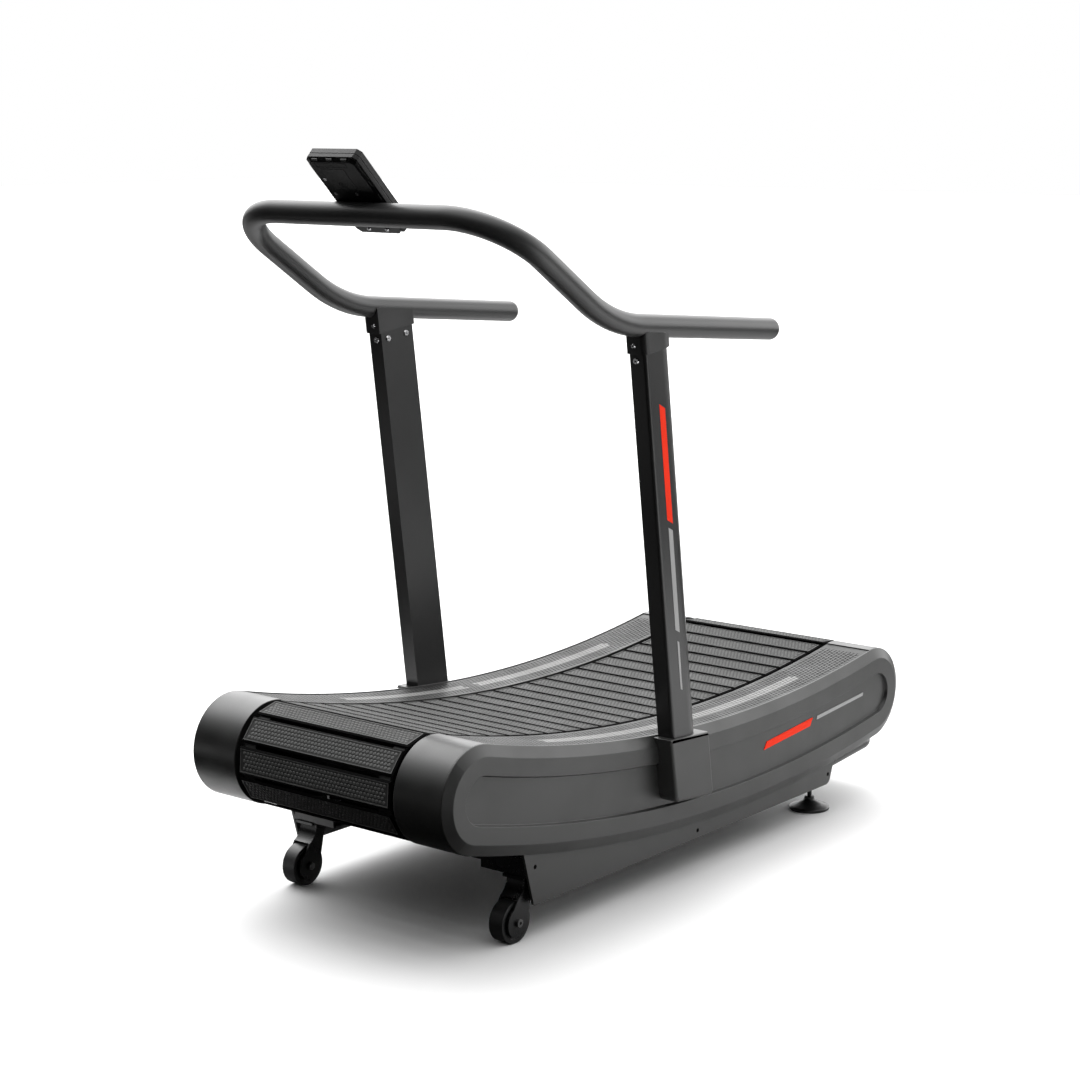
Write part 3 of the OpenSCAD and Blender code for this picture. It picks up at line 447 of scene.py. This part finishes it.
def brick(x0, x1, a0, a1, side):
    """One raised brick between two x positions and two arc angles, open below."""
    edge_a = BRICK_EDGE / PATH_R
    base = [(x0, a0), (x1, a0), (x1, a1), (x0, a1)]
    top = [(x0 + BRICK_EDGE, a0 + edge_a), (x1 - BRICK_EDGE, a0 + edge_a),
           (x1 - BRICK_EDGE, a1 - edge_a), (x0 + BRICK_EDGE, a1 - edge_a)]
    levels = ((base, RAIL_TOP - BRICK_SINK), (base, PAD_TOP - BRICK_EDGE), (top, PAD_TOP))
    verts = [(side * x, *on_arc(a, r)) for loop, r in levels for x, a in loop]
    faces = [(k, (k + 1) % 4, 4 + (k + 1) % 4, 4 + k) for k in range(4)]
    faces += [(4 + k, 4 + (k + 1) % 4, 8 + (k + 1) % 4, 8 + k) for k in range(4)]
    faces.append((8, 9, 10, 11))
    if side < 0:
        faces = [face[::-1] for face in faces]
    return verts, faces


pitch_x = (FIELD_OUT - FIELD_IN) / ROWS
brick_a, gap_a = BRICK / PATH_R, JOINT / PATH_R
for side, s in SIDES:
    margins = [strip(RAIL_IN, FIELD_IN, PAD_TOP, A_FRONT, A_REAR, 90, s),
               strip(FIELD_OUT, RAIL_OUT, PAD_TOP, A_FRONT, A_REAR, 90, s),
               strip(FIELD_IN, FIELD_OUT, PAD_TOP, FIELD_A1, A_REAR, 3, s)]
    o = piece("foot_rail_%s_deck" % side, *join(margins), PAD, "frame", sharp=30, weighted=False)
    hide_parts("foot_rail_" + side)
    ground = strip(FIELD_IN, FIELD_OUT, RAIL_TOP, A_FRONT, FIELD_A1, 80, s)
    o = piece("foot_rail_%s_groove" % side, *ground, GROOVE, "frame", sharp=30, weighted=False)
    bricks, tints = [], []
    for row in range(ROWS):
        x0 = FIELD_IN + row * pitch_x + (0 if row == 0 else JOINT / 2)
        x1 = FIELD_IN + (row + 1) * pitch_x - (0 if row == ROWS - 1 else JOINT / 2)
        shift = (row % 2) * 0.5
        a1 = A_FRONT
        i = 0
        while a1 < FIELD_A1:
            a0 = FIELD_A0 + (i - shift) * brick_a
            a1 = a0 + brick_a - gap_a
            a0 = max(a0, A_FRONT)
            i += 1
            if a1 > FIELD_A1 - brick_a * LAST_SHARE[row % 2]:
                a1 = FIELD_A1
            if a1 - a0 < gap_a:
                continue
            bricks.append(brick(x0, x1, a0, a1, s))
            light = row in LIGHT_ROWS and any(start < a0 < end for start, end in LIGHT_RUNS)
            tints += [int(light)] * len(bricks[-1][1])
    o = piece("foot_rail_%s_bricks" % side, *join(bricks), PAD, "frame", sharp=20, weighted=False)
    o.data.materials.append(LIGHT_PAD)
    o.data.polygons.foreach_set("material_index", tints)

# ---------------------------------------------------------------- slats with a studded tread
# slat count, half width and half depth, plank thickness, first slat's place, pitch radius on a drum
SLATS, HALF_X, HALF_V, THICK, FIRST, PITCH_R = 57, 0.217, 0.030, 0.005, 0.012, 0.107
UP_R, LOW_R = PATH_R - PITCH_R, PATH_R + PITCH_R
SWEEP = A_REAR - A_FRONT
S_REAR = UP_R * SWEEP
S_LOWER = S_REAR + math.pi * PITCH_R
S_FRONT = S_LOWER + LOW_R * SWEEP
PITCH = (S_FRONT + math.pi * PITCH_R) / SLATS
# the rim is (inset, height) pairs that end at the sunk field between the studs
DEPTH = 0.0012
RIM = ((0, -THICK), (0, -0.0030), (0.0030, -0.0006), (0.0044, 0.0), (0.0062, 0.0), (0.0066, -DEPTH))
RIB_X, RIB_Y, RIB_DEEP = 0.168, 0.007, 0.014
STUD_X, STUD_Y, STUD_ROWS, STUD_COUNT = 0.0098, 0.0085, 5, 42
STUD_LEVELS = ((0.0046, -DEPTH), (0.0028, -0.00005))


def slat_parts():
    """One slat in its own frame: x across the belt, y along it, z out of the tread.

    Returns the plank with its rib, the studs, and the plank's material index per face: 0 tread, 1 sides,
    chamfer and underside in near-black painted shade, 2 the field between the studs in a darker
    painted-shade copy of the tread.
    """
    loops = []
    for inset, h in RIM:
        x, y = HALF_X - inset, HALF_V - inset
        loops.append([(-x, -y, h), (x, -y, h), (x, y, h), (-x, y, h)])
    verts, faces = rings(loops, True, False)
    n = len(verts)
    faces += [(3, 2, 1, 0), (n - 4, n - 3, n - 2, n - 1)]
    rib = block(-RIB_X, RIB_X, -RIB_Y, RIB_Y, -THICK - RIB_DEEP, -THICK + 0.0005)
    verts, faces = join([(verts, faces), rib])
    skin = [1] * 12 + [0] * 8 + [1, 2] + [1] * len(rib[1])
    studs_v, studs_f = [], []
    for row in range(STUD_ROWS):
        y = (row - (STUD_ROWS - 1) / 2) * STUD_Y
        count = STUD_COUNT - row % 2
        for i in range(count):
            x = (i - (count - 1) / 2) * STUD_X
            base = len(studs_v)
            for r, h in STUD_LEVELS:
                for k in range(6):
                    a = math.pi / 3 * k + math.pi / 6
                    studs_v.append((x + r * math.cos(a), y + r * math.sin(a), h))
            for k in range(6):
                after = (k + 1) % 6
                studs_f.append((base + k, base + after, base + 6 + after, base + 6 + k))
            studs_f.append(tuple(base + 6 + k for k in range(6)))
    return (verts, faces), (studs_v, studs_f), skin


def turn_x(angle, y, z):
    return Matrix.Translation((0, y, z)) @ Matrix.Rotation(angle, 4, "X")


def slat_place(s):
    """(stretch, matrix) of the slat at distance s along the belt's pitch line."""
    if s < S_REAR:
        a = A_FRONT + s / UP_R
        return "upper", turn_x(a, ARC_Y, ARC_Z) @ Matrix.Translation((0, 0, SLAT_R - PATH_R))
    if s < S_LOWER:
        a = A_REAR - (s - S_REAR) / PITCH_R
        return "rear", turn_x(a, REAR_Y, REAR_Z) @ Matrix.Translation((0, 0, SLAT_R))
    if s < S_FRONT:
        a = A_REAR - (s - S_LOWER) / LOW_R
        m = turn_x(a, ARC_Y, ARC_Z) @ Matrix.Translation((0, 0, -SLAT_R - PATH_R))
        return "lower", m @ Matrix.Rotation(math.pi, 4, "X")
    a = A_FRONT + math.pi - (s - S_FRONT) / PITCH_R
    return "front", turn_x(a, FRONT_Y, FRONT_Z) @ Matrix.Translation((0, 0, SLAT_R))


plank, studs, plank_skin = slat_parts()
stretches = {k: ([], []) for k in ("upper", "rear", "lower", "front")}
for i in range(SLATS):
    where, m = slat_place(FIRST + i * PITCH)
    for bucket, (v, f) in zip(stretches[where], (plank, studs)):
        bucket.append(([tuple(m @ Vector(p)) for p in v], f))
BELT_BODY = {"upper": "belt_upper_run", "rear": "belt_rear_wrap", "lower": "belt_lower_run",
             "front": "belt_front_wrap"}
for where, (planks, studded) in stretches.items():
    o = piece("%s_slat_planks" % where, *join(planks), TREAD, BELT_BODY[where], sharp=20, weighted=False)
    # the slat sides, chamfers and undersides take the near-black painted shade
    o.data.materials.append(PAINTED_GAP_SHADE)
    # the field between the studs takes the darker copy of the tread as painted shade
    o.data.materials.append(VALLEY_SHADE)
    o.data.polygons.foreach_set("material_index", plank_skin * len(planks))
    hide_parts(where + "_slats")
    o = raw("%s_slat_studs" % where, *join(studded), TREAD, BELT_BODY[where])

# ---------------------------------------------------------------- handlebar
HANDLE_X, BAR_R = 0.382, 0.0249
GRIP_END, KNEE, CORNER = (0.2205, 1.2384), (-0.3744, 1.2899), (-0.7236, 1.5175)
KNEE_R, CORNER_R, BAR_SIDES = 0.400, 0.150, 48


def bend_points(a, p, b, radius, steps):
    """Points round the corner at p between a and b."""
    a, p, b = Vector(a), Vector(p), Vector(b)
    da, db = (a - p).normalized(), (b - p).normalized()
    half = da.angle(db) / 2
    reach = radius / math.tan(half)
    centre = p + (da + db).normalized() * (radius / math.sin(half))
    start = p + da * reach - centre
    axis = start.cross(p + db * reach - centre).normalized()
    total = math.pi - 2 * half
    return [centre + Matrix.Rotation(total * i / steps, 3, axis) @ start for i in range(steps + 1)]


grip, knee = (HANDLE_X, *GRIP_END), (HANDLE_X, *KNEE)
corner, far_corner = (HANDLE_X, *CORNER), (-HANDLE_X, *CORNER)
half_bar = [Vector(grip)] + bend_points(grip, knee, corner, KNEE_R, 22)
half_bar += bend_points(knee, corner, far_corner, CORNER_R, 28)
bar_line = half_bar + [Vector((-p.x, p.y, p.z)) for p in reversed(half_bar)]
loops = []
side_dir = Vector((1, 0, 0))
previous = None
for i, p in enumerate(bar_line):
    ahead = bar_line[min(i + 1, len(bar_line) - 1)] - bar_line[max(i - 1, 0)]
    tangent = ahead.normalized()
    if previous is not None:
        side_dir = previous.rotation_difference(tangent) @ side_dir
    side_dir = (side_dir - tangent * side_dir.dot(tangent)).normalized()
    up = tangent.cross(side_dir)
    previous = tangent
    loops.append([tuple(p + side_dir * (BAR_R * math.cos(2 * math.pi * k / BAR_SIDES))
                        + up * (BAR_R * math.sin(2 * math.pi * k / BAR_SIDES)))
                  for k in range(BAR_SIDES)])
o = piece("handlebar_tube", *rings(loops, True, False), BAR, "frame", sharp=50, weighted=False)
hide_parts("handlebar")

# ---------------------------------------------------------------- boots round the uprights
BOOT_RIM = fillet(
    [(-0.143, 0.213), (-0.1515, 0.222), (-0.175, 0.361), (-0.028, 0.3515), (-0.007, 0.210),
     (-0.015, 0.2015), (-0.143, 0.213)],
    [0, 0.010, 0.0015, 0.0015, 0.008, 0, 0])[:-1]
BOOT_ROUND, BOOT_STEPS = 0.007, 5
middle = Vector((sum(p[0] for p in BOOT_RIM) / len(BOOT_RIM), sum(p[1] for p in BOOT_RIM) / len(BOOT_RIM)))
for side, s in SIDES:
    lo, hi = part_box("post_boot_" + side)
    x_in, x_out = (lo.x, hi.x) if s > 0 else (hi.x, lo.x)
    levels = [(x_in, 0.0)]
    for k in range(BOOT_STEPS + 1):
        a = math.pi / 2 * k / BOOT_STEPS
        levels.append((x_out - s * BOOT_ROUND * (1 - math.sin(a)), BOOT_ROUND * (1 - math.cos(a))))
    n = len(BOOT_RIM)
    loops = []
    for x, inset in levels:
        ring = []
        for i, p in enumerate(BOOT_RIM):
            along = (Vector(BOOT_RIM[(i + 1) % n]) - Vector(BOOT_RIM[i - 1])).normalized()
            inward = Vector((along.y, -along.x))
            if inward.dot(Vector(p) - middle) > 0:
                inward = -inward
            q = Vector(p) + inward * inset
            ring.append((x, q.x, q.y))
        loops.append(ring)
    verts, faces = rings(loops, True, False)
    faces += [tuple(range(n - 1, -1, -1)), tuple(range(len(verts) - n, len(verts)))]
    o = piece("post_boot_%s_shell" % side, verts, faces, CAST, "frame", sharp=35)
    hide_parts("post_boot_" + side)

# ---------------------------------------------------------------- plain bars on covers and uprights
# (name, finish, (y, z) corners on the cover, (low z, high z, half width) on the upright)
BARS = (
    ("red", RED, [(0.2682, 0.2367), (0.4706, 0.2531), (0.4825, 0.2724), (0.2805, 0.2548)],
     [(0.850, 1.105, 0.0105)]),
    ("grey", PALE, [(0.5004, 0.2632), (0.7150, 0.2810), (0.7170, 0.2890), (0.5030, 0.2722)],
     [(0.602, 0.834, 0.0080), (0.467, 0.578, 0.0035)]),
)
POST_FOOT_DEPTH, BAR_FROM_FRONT = 0.109, 0.044


def plate(x0, x1, quad):
    """A thin plate between two X positions with a (y, z) outline."""
    v, f = rings([[(x0, y, z) for y, z in quad], [(x1, y, z) for y, z in quad]], True, False)
    return v, f + [(3, 2, 1, 0), (4, 5, 6, 7)]


def post_bar(s, z0, z1, half):
    """A bar between two heights on an upright's outer face, along its slope."""
    lo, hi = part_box("post_left")
    foot_y = hi.y - POST_FOOT_DEPTH
    y0, y1 = (foot_y + (lo.y - foot_y) * (z - lo.z) / (hi.z - lo.z) + BAR_FROM_FRONT for z in (z0, z1))
    quad = [(y0 - half, z0 + half / 2), (y0 + half, z0 - half / 2),
            (y1 + half, z1 - half / 2), (y1 - half, z1 + half / 2)]
    return plate(s * (POST_FACE - 0.0005), s * (POST_FACE + 0.0004), quad)


for side, s in SIDES:
    face = COVER_X - RECESS_D
    for name, finish, quad, runs in BARS:
        o = piece("cover_bar_%s_%s" % (side, name), *plate(s * (face - 0.0006), s * (face + 0.0012), quad),
                  finish, "frame", sharp=20, weighted=False)
        o = piece("post_bar_%s_%s" % (side, name), *join([post_bar(s, *run) for run in runs]),
                  finish, "frame", sharp=20, weighted=False)

# ---------------------------------------------------------------- levelling feet
STEM_R, THREAD_R, THREAD_Z, THREAD_PITCH = 0.0052, 0.0060, 0.0340, 0.00175
for side, s in SIDES:
    lo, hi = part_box("levelling_foot_" + side)
    cx, cy, top = (lo.x + hi.x) / 2, (lo.y + hi.y) / 2, hi.z
    pad_r = (hi.x - lo.x) / 2
    turned = fillet(
        [(0.0, 0.0), (pad_r - 0.001, 0.0), (pad_r, 0.002), (pad_r, 0.0065), (pad_r - 0.004, 0.0095),
         (0.030, 0.0150), (0.0155, 0.0225), (0.0125, 0.0260), (0.0125, 0.0315), (0.0100, 0.0330),
         (STEM_R, 0.0335)],
        [0, 0.0008, 0.001, 0.003, 0.004, 0.03, 0.006, 0.002, 0.002, 0.001, 0])
    z = THREAD_Z
    while z < top - 0.002:
        turned += [(STEM_R, z), (THREAD_R, z + 0.0006), (THREAD_R, z + 0.0009), (STEM_R, z + 0.0015)]
        z += THREAD_PITCH
    turned += [(0.0050, top - 0.0005), (0.0, top)]
    o = piece("levelling_foot_%s_turned" % side, *lathe(turned, (cx, cy, 0.0)), FOOT, "foot_" + side,
              sharp=40, weighted=False)
    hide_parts("levelling_foot_" + side)

# ---------------------------------------------------------------- console
press = Vector(joints["button_start_press"]["axis"]).normalized()
OUT = -press
UP = Vector((0, -OUT.z, OUT.y))
back_points = [v.co for v in nodes["console_back"].data.vertices]
TOP = max(p.dot(UP) for p in back_points)
BACK = min(p.dot(OUT) for p in back_points) + 0.006
HALF = max(p.x for p in back_points)
CONSOLE_LEN, CONSOLE_CORNER = 0.218, 0.0085
BULGE_SHORTER = 0.062


def local(x, y, z):
    """Console coordinates (across, out of the face, up from the top edge) to the row frame."""
    p = OUT * (BACK + y) + UP * (TOP + z)
    return (x, p.y, p.z)


def slab_ring(inset, y, shorter):
    h, c = HALF - inset, CONSOLE_CORNER
    top, low = -inset, inset - CONSOLE_LEN + shorter
    pts = [(-h, top - c), (c - h, top), (h - c, top), (h, top - c),
           (h, low + c), (h - c, low), (c - h, low), (-h, low + c)]
    return [local(x, y, z) for x, z in pts]


def slab(levels, shorter=0.0):
    """Eight-sided plate through (inset, height) levels, shorter than the console by that much."""
    v, f = rings([slab_ring(inset, y, shorter) for inset, y in levels], True, False)
    f += [tuple(range(7, -1, -1)), tuple(range(len(v) - 8, len(v)))]
    return v, f


shell_back = slab([(0.0012, 0.0118), (0.0, 0.0108), (0.0, 0.0012), (0.0012, 0.0)])
bulge = slab([(0.003, 0.0004), (0.0040, -0.0012), (0.0070, -0.0046), (0.0085, -0.0056)], BULGE_SHORTER)
o = piece("console_back_shell", *join([shell_back, bulge]), SHELL, "frame", sharp=25, weighted=False)
rounding = o.modifiers.new("edges", "BEVEL")
rounding.width, rounding.segments = 0.0009, 2
rounding.limit_method, rounding.angle_limit = "ANGLE", math.radians(25)
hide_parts("console_back")

# snap slots at the top and sides of the back, and the frame of an empty label recess
SLOT_HALF, SIDE_SLOT = 0.008, 0.003
LABEL_FRAME = ((-0.046, 0.038, -0.0120, -0.0110), (-0.046, 0.038, -0.0240, -0.0228),
               (-0.046, -0.0448, -0.0230, -0.0118), (0.0368, 0.038, -0.0230, -0.0118))
details = []
for x in (-0.040, 0.0, 0.040):
    details.append(block(x - SLOT_HALF, x + SLOT_HALF, -0.0046, -0.0016, -0.0062, -0.0012, local,
                         cut=0.0006))
for sx in (-1, 1):
    x0, x1 = sorted((sx * (HALF - 0.0040), sx * (HALF - 0.0040) - sx * SIDE_SLOT))
    for z in (-0.034, -0.072, -0.110):
        details.append(block(x0, x1, -0.0026, -0.0010, z - SLOT_HALF, z + SLOT_HALF, local, cut=0.0004))
for x0, x1, z0, z1 in LABEL_FRAME:
    details.append(block(x0, x1, -0.0060, -0.0052, z0, z1, local, cut=0.0))
o = piece("console_back_details", *join(details), SHELL, "frame", sharp=25, weighted=False)

# key symbols on the caps: simple shapes only
MM = 0.001
cap_top = max(v.co.dot(OUT) for v in nodes["button_start"].data.vertices)


def key_centre(node):
    pts = [v.co for v in nodes[node].data.vertices]
    return (min(p.x for p in pts) + max(p.x for p in pts)) / 2, (
        min(p.dot(UP) for p in pts) + max(p.dot(UP) for p in pts)) / 2


def symbol(key, shapes):
    """Thin raised marks on a key from outlines in millimetres about the middle of its cap."""
    cx, cz = key_centre("button_" + key)
    made = []
    for outline_mm in shapes:
        pts = [(x * MM, z * MM) for x, z in outline_mm]
        low = [OUT * (cap_top - 0.0001) + UP * (cz + z) + Vector((cx + x, 0, 0)) for x, z in pts]
        high = [p + OUT * 0.0004 for p in low]
        v, f = rings([[tuple(p) for p in low], [tuple(p) for p in high]], True, False)
        n = len(pts)
        f += [tuple(range(n - 1, -1, -1)), tuple(range(n, 2 * n))]
        made.append((v, f))
    o = piece("key_mark_" + key, *join(made), MARK, "key_" + key, sharp=20, weighted=False)


symbol("start", [[(-3, -4), (4, 0), (-3, 4)]])
symbol("stop", [[(-3.2, -3.2), (3.2, -3.2), (3.2, 3.2), (-3.2, 3.2)]])
symbol("up", [[(-4, -2.5), (4, -2.5), (0, 3.5)]])
symbol("down", [[(-4, 2.5), (0, -3.5), (4, 2.5)]])
symbol("enter", [[(3.6 * math.cos(a * math.pi / 12), 3.6 * math.sin(a * math.pi / 12)) for a in range(24)]])
symbol("program", [[(-5, z - 0.5), (5, z - 0.5), (5, z + 0.5), (-5, z + 0.5)] for z in (-2.4, 0, 2.4)])

# seven-segment zeros on the display
lcd_top = max(v.co.dot(OUT) for v in nodes["console_display"].data.vertices)


def zero_bars(cx, cz, h, w, t):
    """The six bars of a seven-segment zero as (x0, x1, z0, z1)."""
    bars = [(cx, cz + h / 2, w, t), (cx + w / 2, cz + h / 4, t, h / 2), (cx + w / 2, cz - h / 4, t, h / 2),
            (cx, cz - h / 2, w, t), (cx - w / 2, cz - h / 4, t, h / 2), (cx - w / 2, cz + h / 4, t, h / 2)]
    return [(x - a / 2, x + a / 2, z - b / 2, z + b / 2) for x, z, a, b in bars]


def lcd_block(x0, x1, z0, z1):
    pts = [(x0, z0), (x1, z0), (x1, z1), (x0, z1)]
    low = [OUT * (lcd_top - 0.00005) + UP * (TOP + z) + Vector((x, 0, 0)) for x, z in pts]
    v, f = rings([[tuple(p) for p in low], [tuple(p + OUT * 0.0002) for p in low]], True, False)
    return v, f + [(3, 2, 1, 0), (4, 5, 6, 7)]


DIGIT_H, DIGIT_W, DIGIT_BAR, DOT = 0.018, 0.0085, 0.0016, 0.001
digits = []
for row_z in (-0.040, -0.076):
    for x in (-0.033, -0.019, 0.019, 0.033):
        digits += [lcd_block(*q) for q in zero_bars(x, row_z, DIGIT_H, DIGIT_W, DIGIT_BAR)]
    for dz in (-0.004, 0.004):
        digits.append(lcd_block(-DOT, DOT, row_z + dz - DOT, row_z + dz + DOT))
o = piece("display_digits", *join(digits), MARK, "frame", sharp=20, weighted=False)

# ---------------------------------------------------------------- finishes of the CAD nodes that stay
FINISH = {
    "side_frame": PAINT, "rail_brackets": PAINT, "post_": PAINT, "base_rail": COVER,
    # the drums and the sensor magnet take the black paint as painted shade, so they stay dark behind the
    # gaps between slats
    "drum": BLACK, "bearing_blocks": BLACK, "cross_members": BLACK, "lift_handle": BLACK,
    "wheel_fork": BLACK, "sensor_magnet": BLACK, "guide_bearings": STEEL, "carrier_belts": BELT,
    "handlebar_socket": SOCKET, "handlebar_end_caps": BAR, "transport_wheel": WHEEL, "wheel_bolts": BOLT,
    "upright_screws": SCREW, "console_screws": SCREW, "foot_lock_nuts": SCREW,
    "console_mount": SHELL_CAD, "console_front": SHELL_CAD, "battery_cover": SHELL_CAD,
    "speed_sensor": SHELL_CAD, "console_lens": LENS, "console_display": LCD, "console_board": BOARD,
    "console_batteries": CELL, "button_": KEY,
}
for name, o in nodes.items():
    for key, material in FINISH.items():
        if key in name:
            o.data.materials.clear()
            o.data.materials.append(material)
            break

# ---------------------------------------------------------------- studio
FLOOR_HALF, FLOOR_TONE, BACKDROP = 40, 0.80, 1.0
floor_me = bpy.data.meshes.new("floor")
floor_me.from_pydata([(-FLOOR_HALF, -FLOOR_HALF, 0), (FLOOR_HALF, -FLOOR_HALF, 0),
                      (FLOOR_HALF, FLOOR_HALF, 0), (-FLOOR_HALF, FLOOR_HALF, 0)], [], [(0, 1, 2, 3)])
floor = bpy.data.objects.new("floor", floor_me)
bpy.context.scene.collection.objects.link(floor)
floor_paint = bpy.data.materials.new("studio_floor")
floor_paint.use_nodes = True
floor_tree = floor_paint.node_tree
floor_shader = floor_tree.nodes["Principled BSDF"]
floor_shader.inputs["Roughness"].default_value = 0.9
floor_shader.inputs["Specular IOR Level"].default_value = 0.0
axes = floor_tree.nodes.new("ShaderNodeSeparateXYZ")
floor_tree.links.new(floor_tree.nodes.new("ShaderNodeTexCoord").outputs["Object"], axes.inputs["Vector"])


def fades(*runs):
    """The product of smooth fades along the floor, each (axis, start, end, value before, value after)."""
    product = None
    for axis, start, end, before, after in runs:
        step = remap(floor_tree, axes.outputs[axis], (start, end), (before, after), smooth=True)
        product = step if product is None else combine(floor_tree, "MULTIPLY", product, step)
    return product


# seen directly the floor is an even pale tone; what it throws back onto the machine is painted light and
# shade in the floor's colour:
# bright behind the machine and dark in front of it, apart from one painted bright patch off the right front
# corner
painted_floor_light = fades(("Y", -0.90, -0.15, 0.010, 0.58), ("Y", 1.6, 3.2, 1.0, 0.06), ("X", 1.0, 2.0, 1.0, 1.8),
             ("X", -1.5, -0.8, 0.6, 1.0))
painted_light_patch = fades(("X", -0.60, -0.36, 0.90, 0.0), ("Y", -1.12, -0.92, 0.0, 1.0), ("X", -1.2, -0.9, 0.0, 1.0))
painted_bounce = combine(floor_tree, "MAXIMUM", painted_floor_light, painted_light_patch)
from_camera = floor_tree.nodes.new("ShaderNodeLightPath").outputs["Is Camera Ray"]
floor_tone = float_mix(floor_tree, from_camera, painted_bounce, FLOOR_TONE)
floor_tree.links.new(floor_tone, floor_shader.inputs["Base Color"])
floor_me.materials.append(floor_paint)

world = bpy.data.worlds.new("studio")
bpy.context.scene.world = world
world.use_nodes = True
sky = world.node_tree
background = sky.nodes["Background"]
coord = sky.nodes.new("ShaderNodeTexCoord")


def lobe(direction, start, end, strength):
    """Soft light from one side of the sky, rising between two cosines of the angle to the direction."""
    dot = sky.nodes.new("ShaderNodeVectorMath")
    dot.operation = "DOT_PRODUCT"
    dot.inputs[1].default_value = Vector(direction).normalized()
    sky.links.new(coord.outputs["Generated"], dot.inputs[0])
    return remap(sky, dot.outputs["Value"], (start, end), (0.0, strength), smooth=True)


# the last lobe is a faint even light from all round
LOBES = (
    ((-0.60, 0.45, 0.60), 0.64, 0.95, 3.8), ((-0.1, 0.0, 1.0), 0.40, 0.97, 2.3),
    ((0.62, 0.77, 0.15), 0.78, 0.98, 2.3), ((0.08, 1.0, 0.14), 0.84, 0.98, 2.2),
    ((0, 0, 1), -1.0, 1.0, 0.010),
)
total = lobe(*LOBES[0])
for values in LOBES[1:]:
    total = combine(sky, "ADD", total, lobe(*values))
from_camera = sky.nodes.new("ShaderNodeLightPath").outputs["Is Camera Ray"]
sky.links.new(float_mix(sky, from_camera, total, BACKDROP), background.inputs["Strength"])
background.inputs["Color"].default_value = (1, 1, 1, 1)

# a low softbox off the right front corner, seen only in the far cap and its wheel
scene = bpy.context.scene
panel = bpy.data.lights.new("low_softbox", "AREA")
panel.shape, panel.size, panel.size_y, panel.energy = "RECTANGLE", 0.9, 0.4, 0.9
low_box = bpy.data.objects.new("low_softbox", panel)
scene.collection.objects.link(low_box)
low_box.location = (-1.60, -1.95, 0.20)
low_box.rotation_mode = "QUATERNION"
low_box.rotation_quaternion = (Vector((-0.35, -0.85, 0.25)) - low_box.location).to_track_quat("-Z", "Y")
low_box.visible_camera = False

# ---------------------------------------------------------------- camera at the photograph's angle
CAMERA_AT, CAMERA_AZIMUTH, CAMERA_PITCH = (3.30445, -4.25088, 1.72644), 38.7232, 10.3928
SENSOR_MM, LENS_MM = 36.0, 78.14
scene.view_settings.view_transform = "Standard"
scene.view_settings.look = "None"
cam = bpy.data.cameras.new("camera")
camera = bpy.data.objects.new("camera", cam)
scene.collection.objects.link(camera)
azimuth, pitch = math.radians(CAMERA_AZIMUTH), math.radians(CAMERA_PITCH)
look = Vector((-math.sin(azimuth) * math.cos(pitch), math.cos(azimuth) * math.cos(pitch), -math.sin(pitch)))
camera.location = CAMERA_AT
camera.rotation_mode = "QUATERNION"
camera.rotation_quaternion = look.to_track_quat("-Z", "Y")
cam.sensor_width = SENSOR_MM
cam.lens = LENS_MM
scene.camera = camera
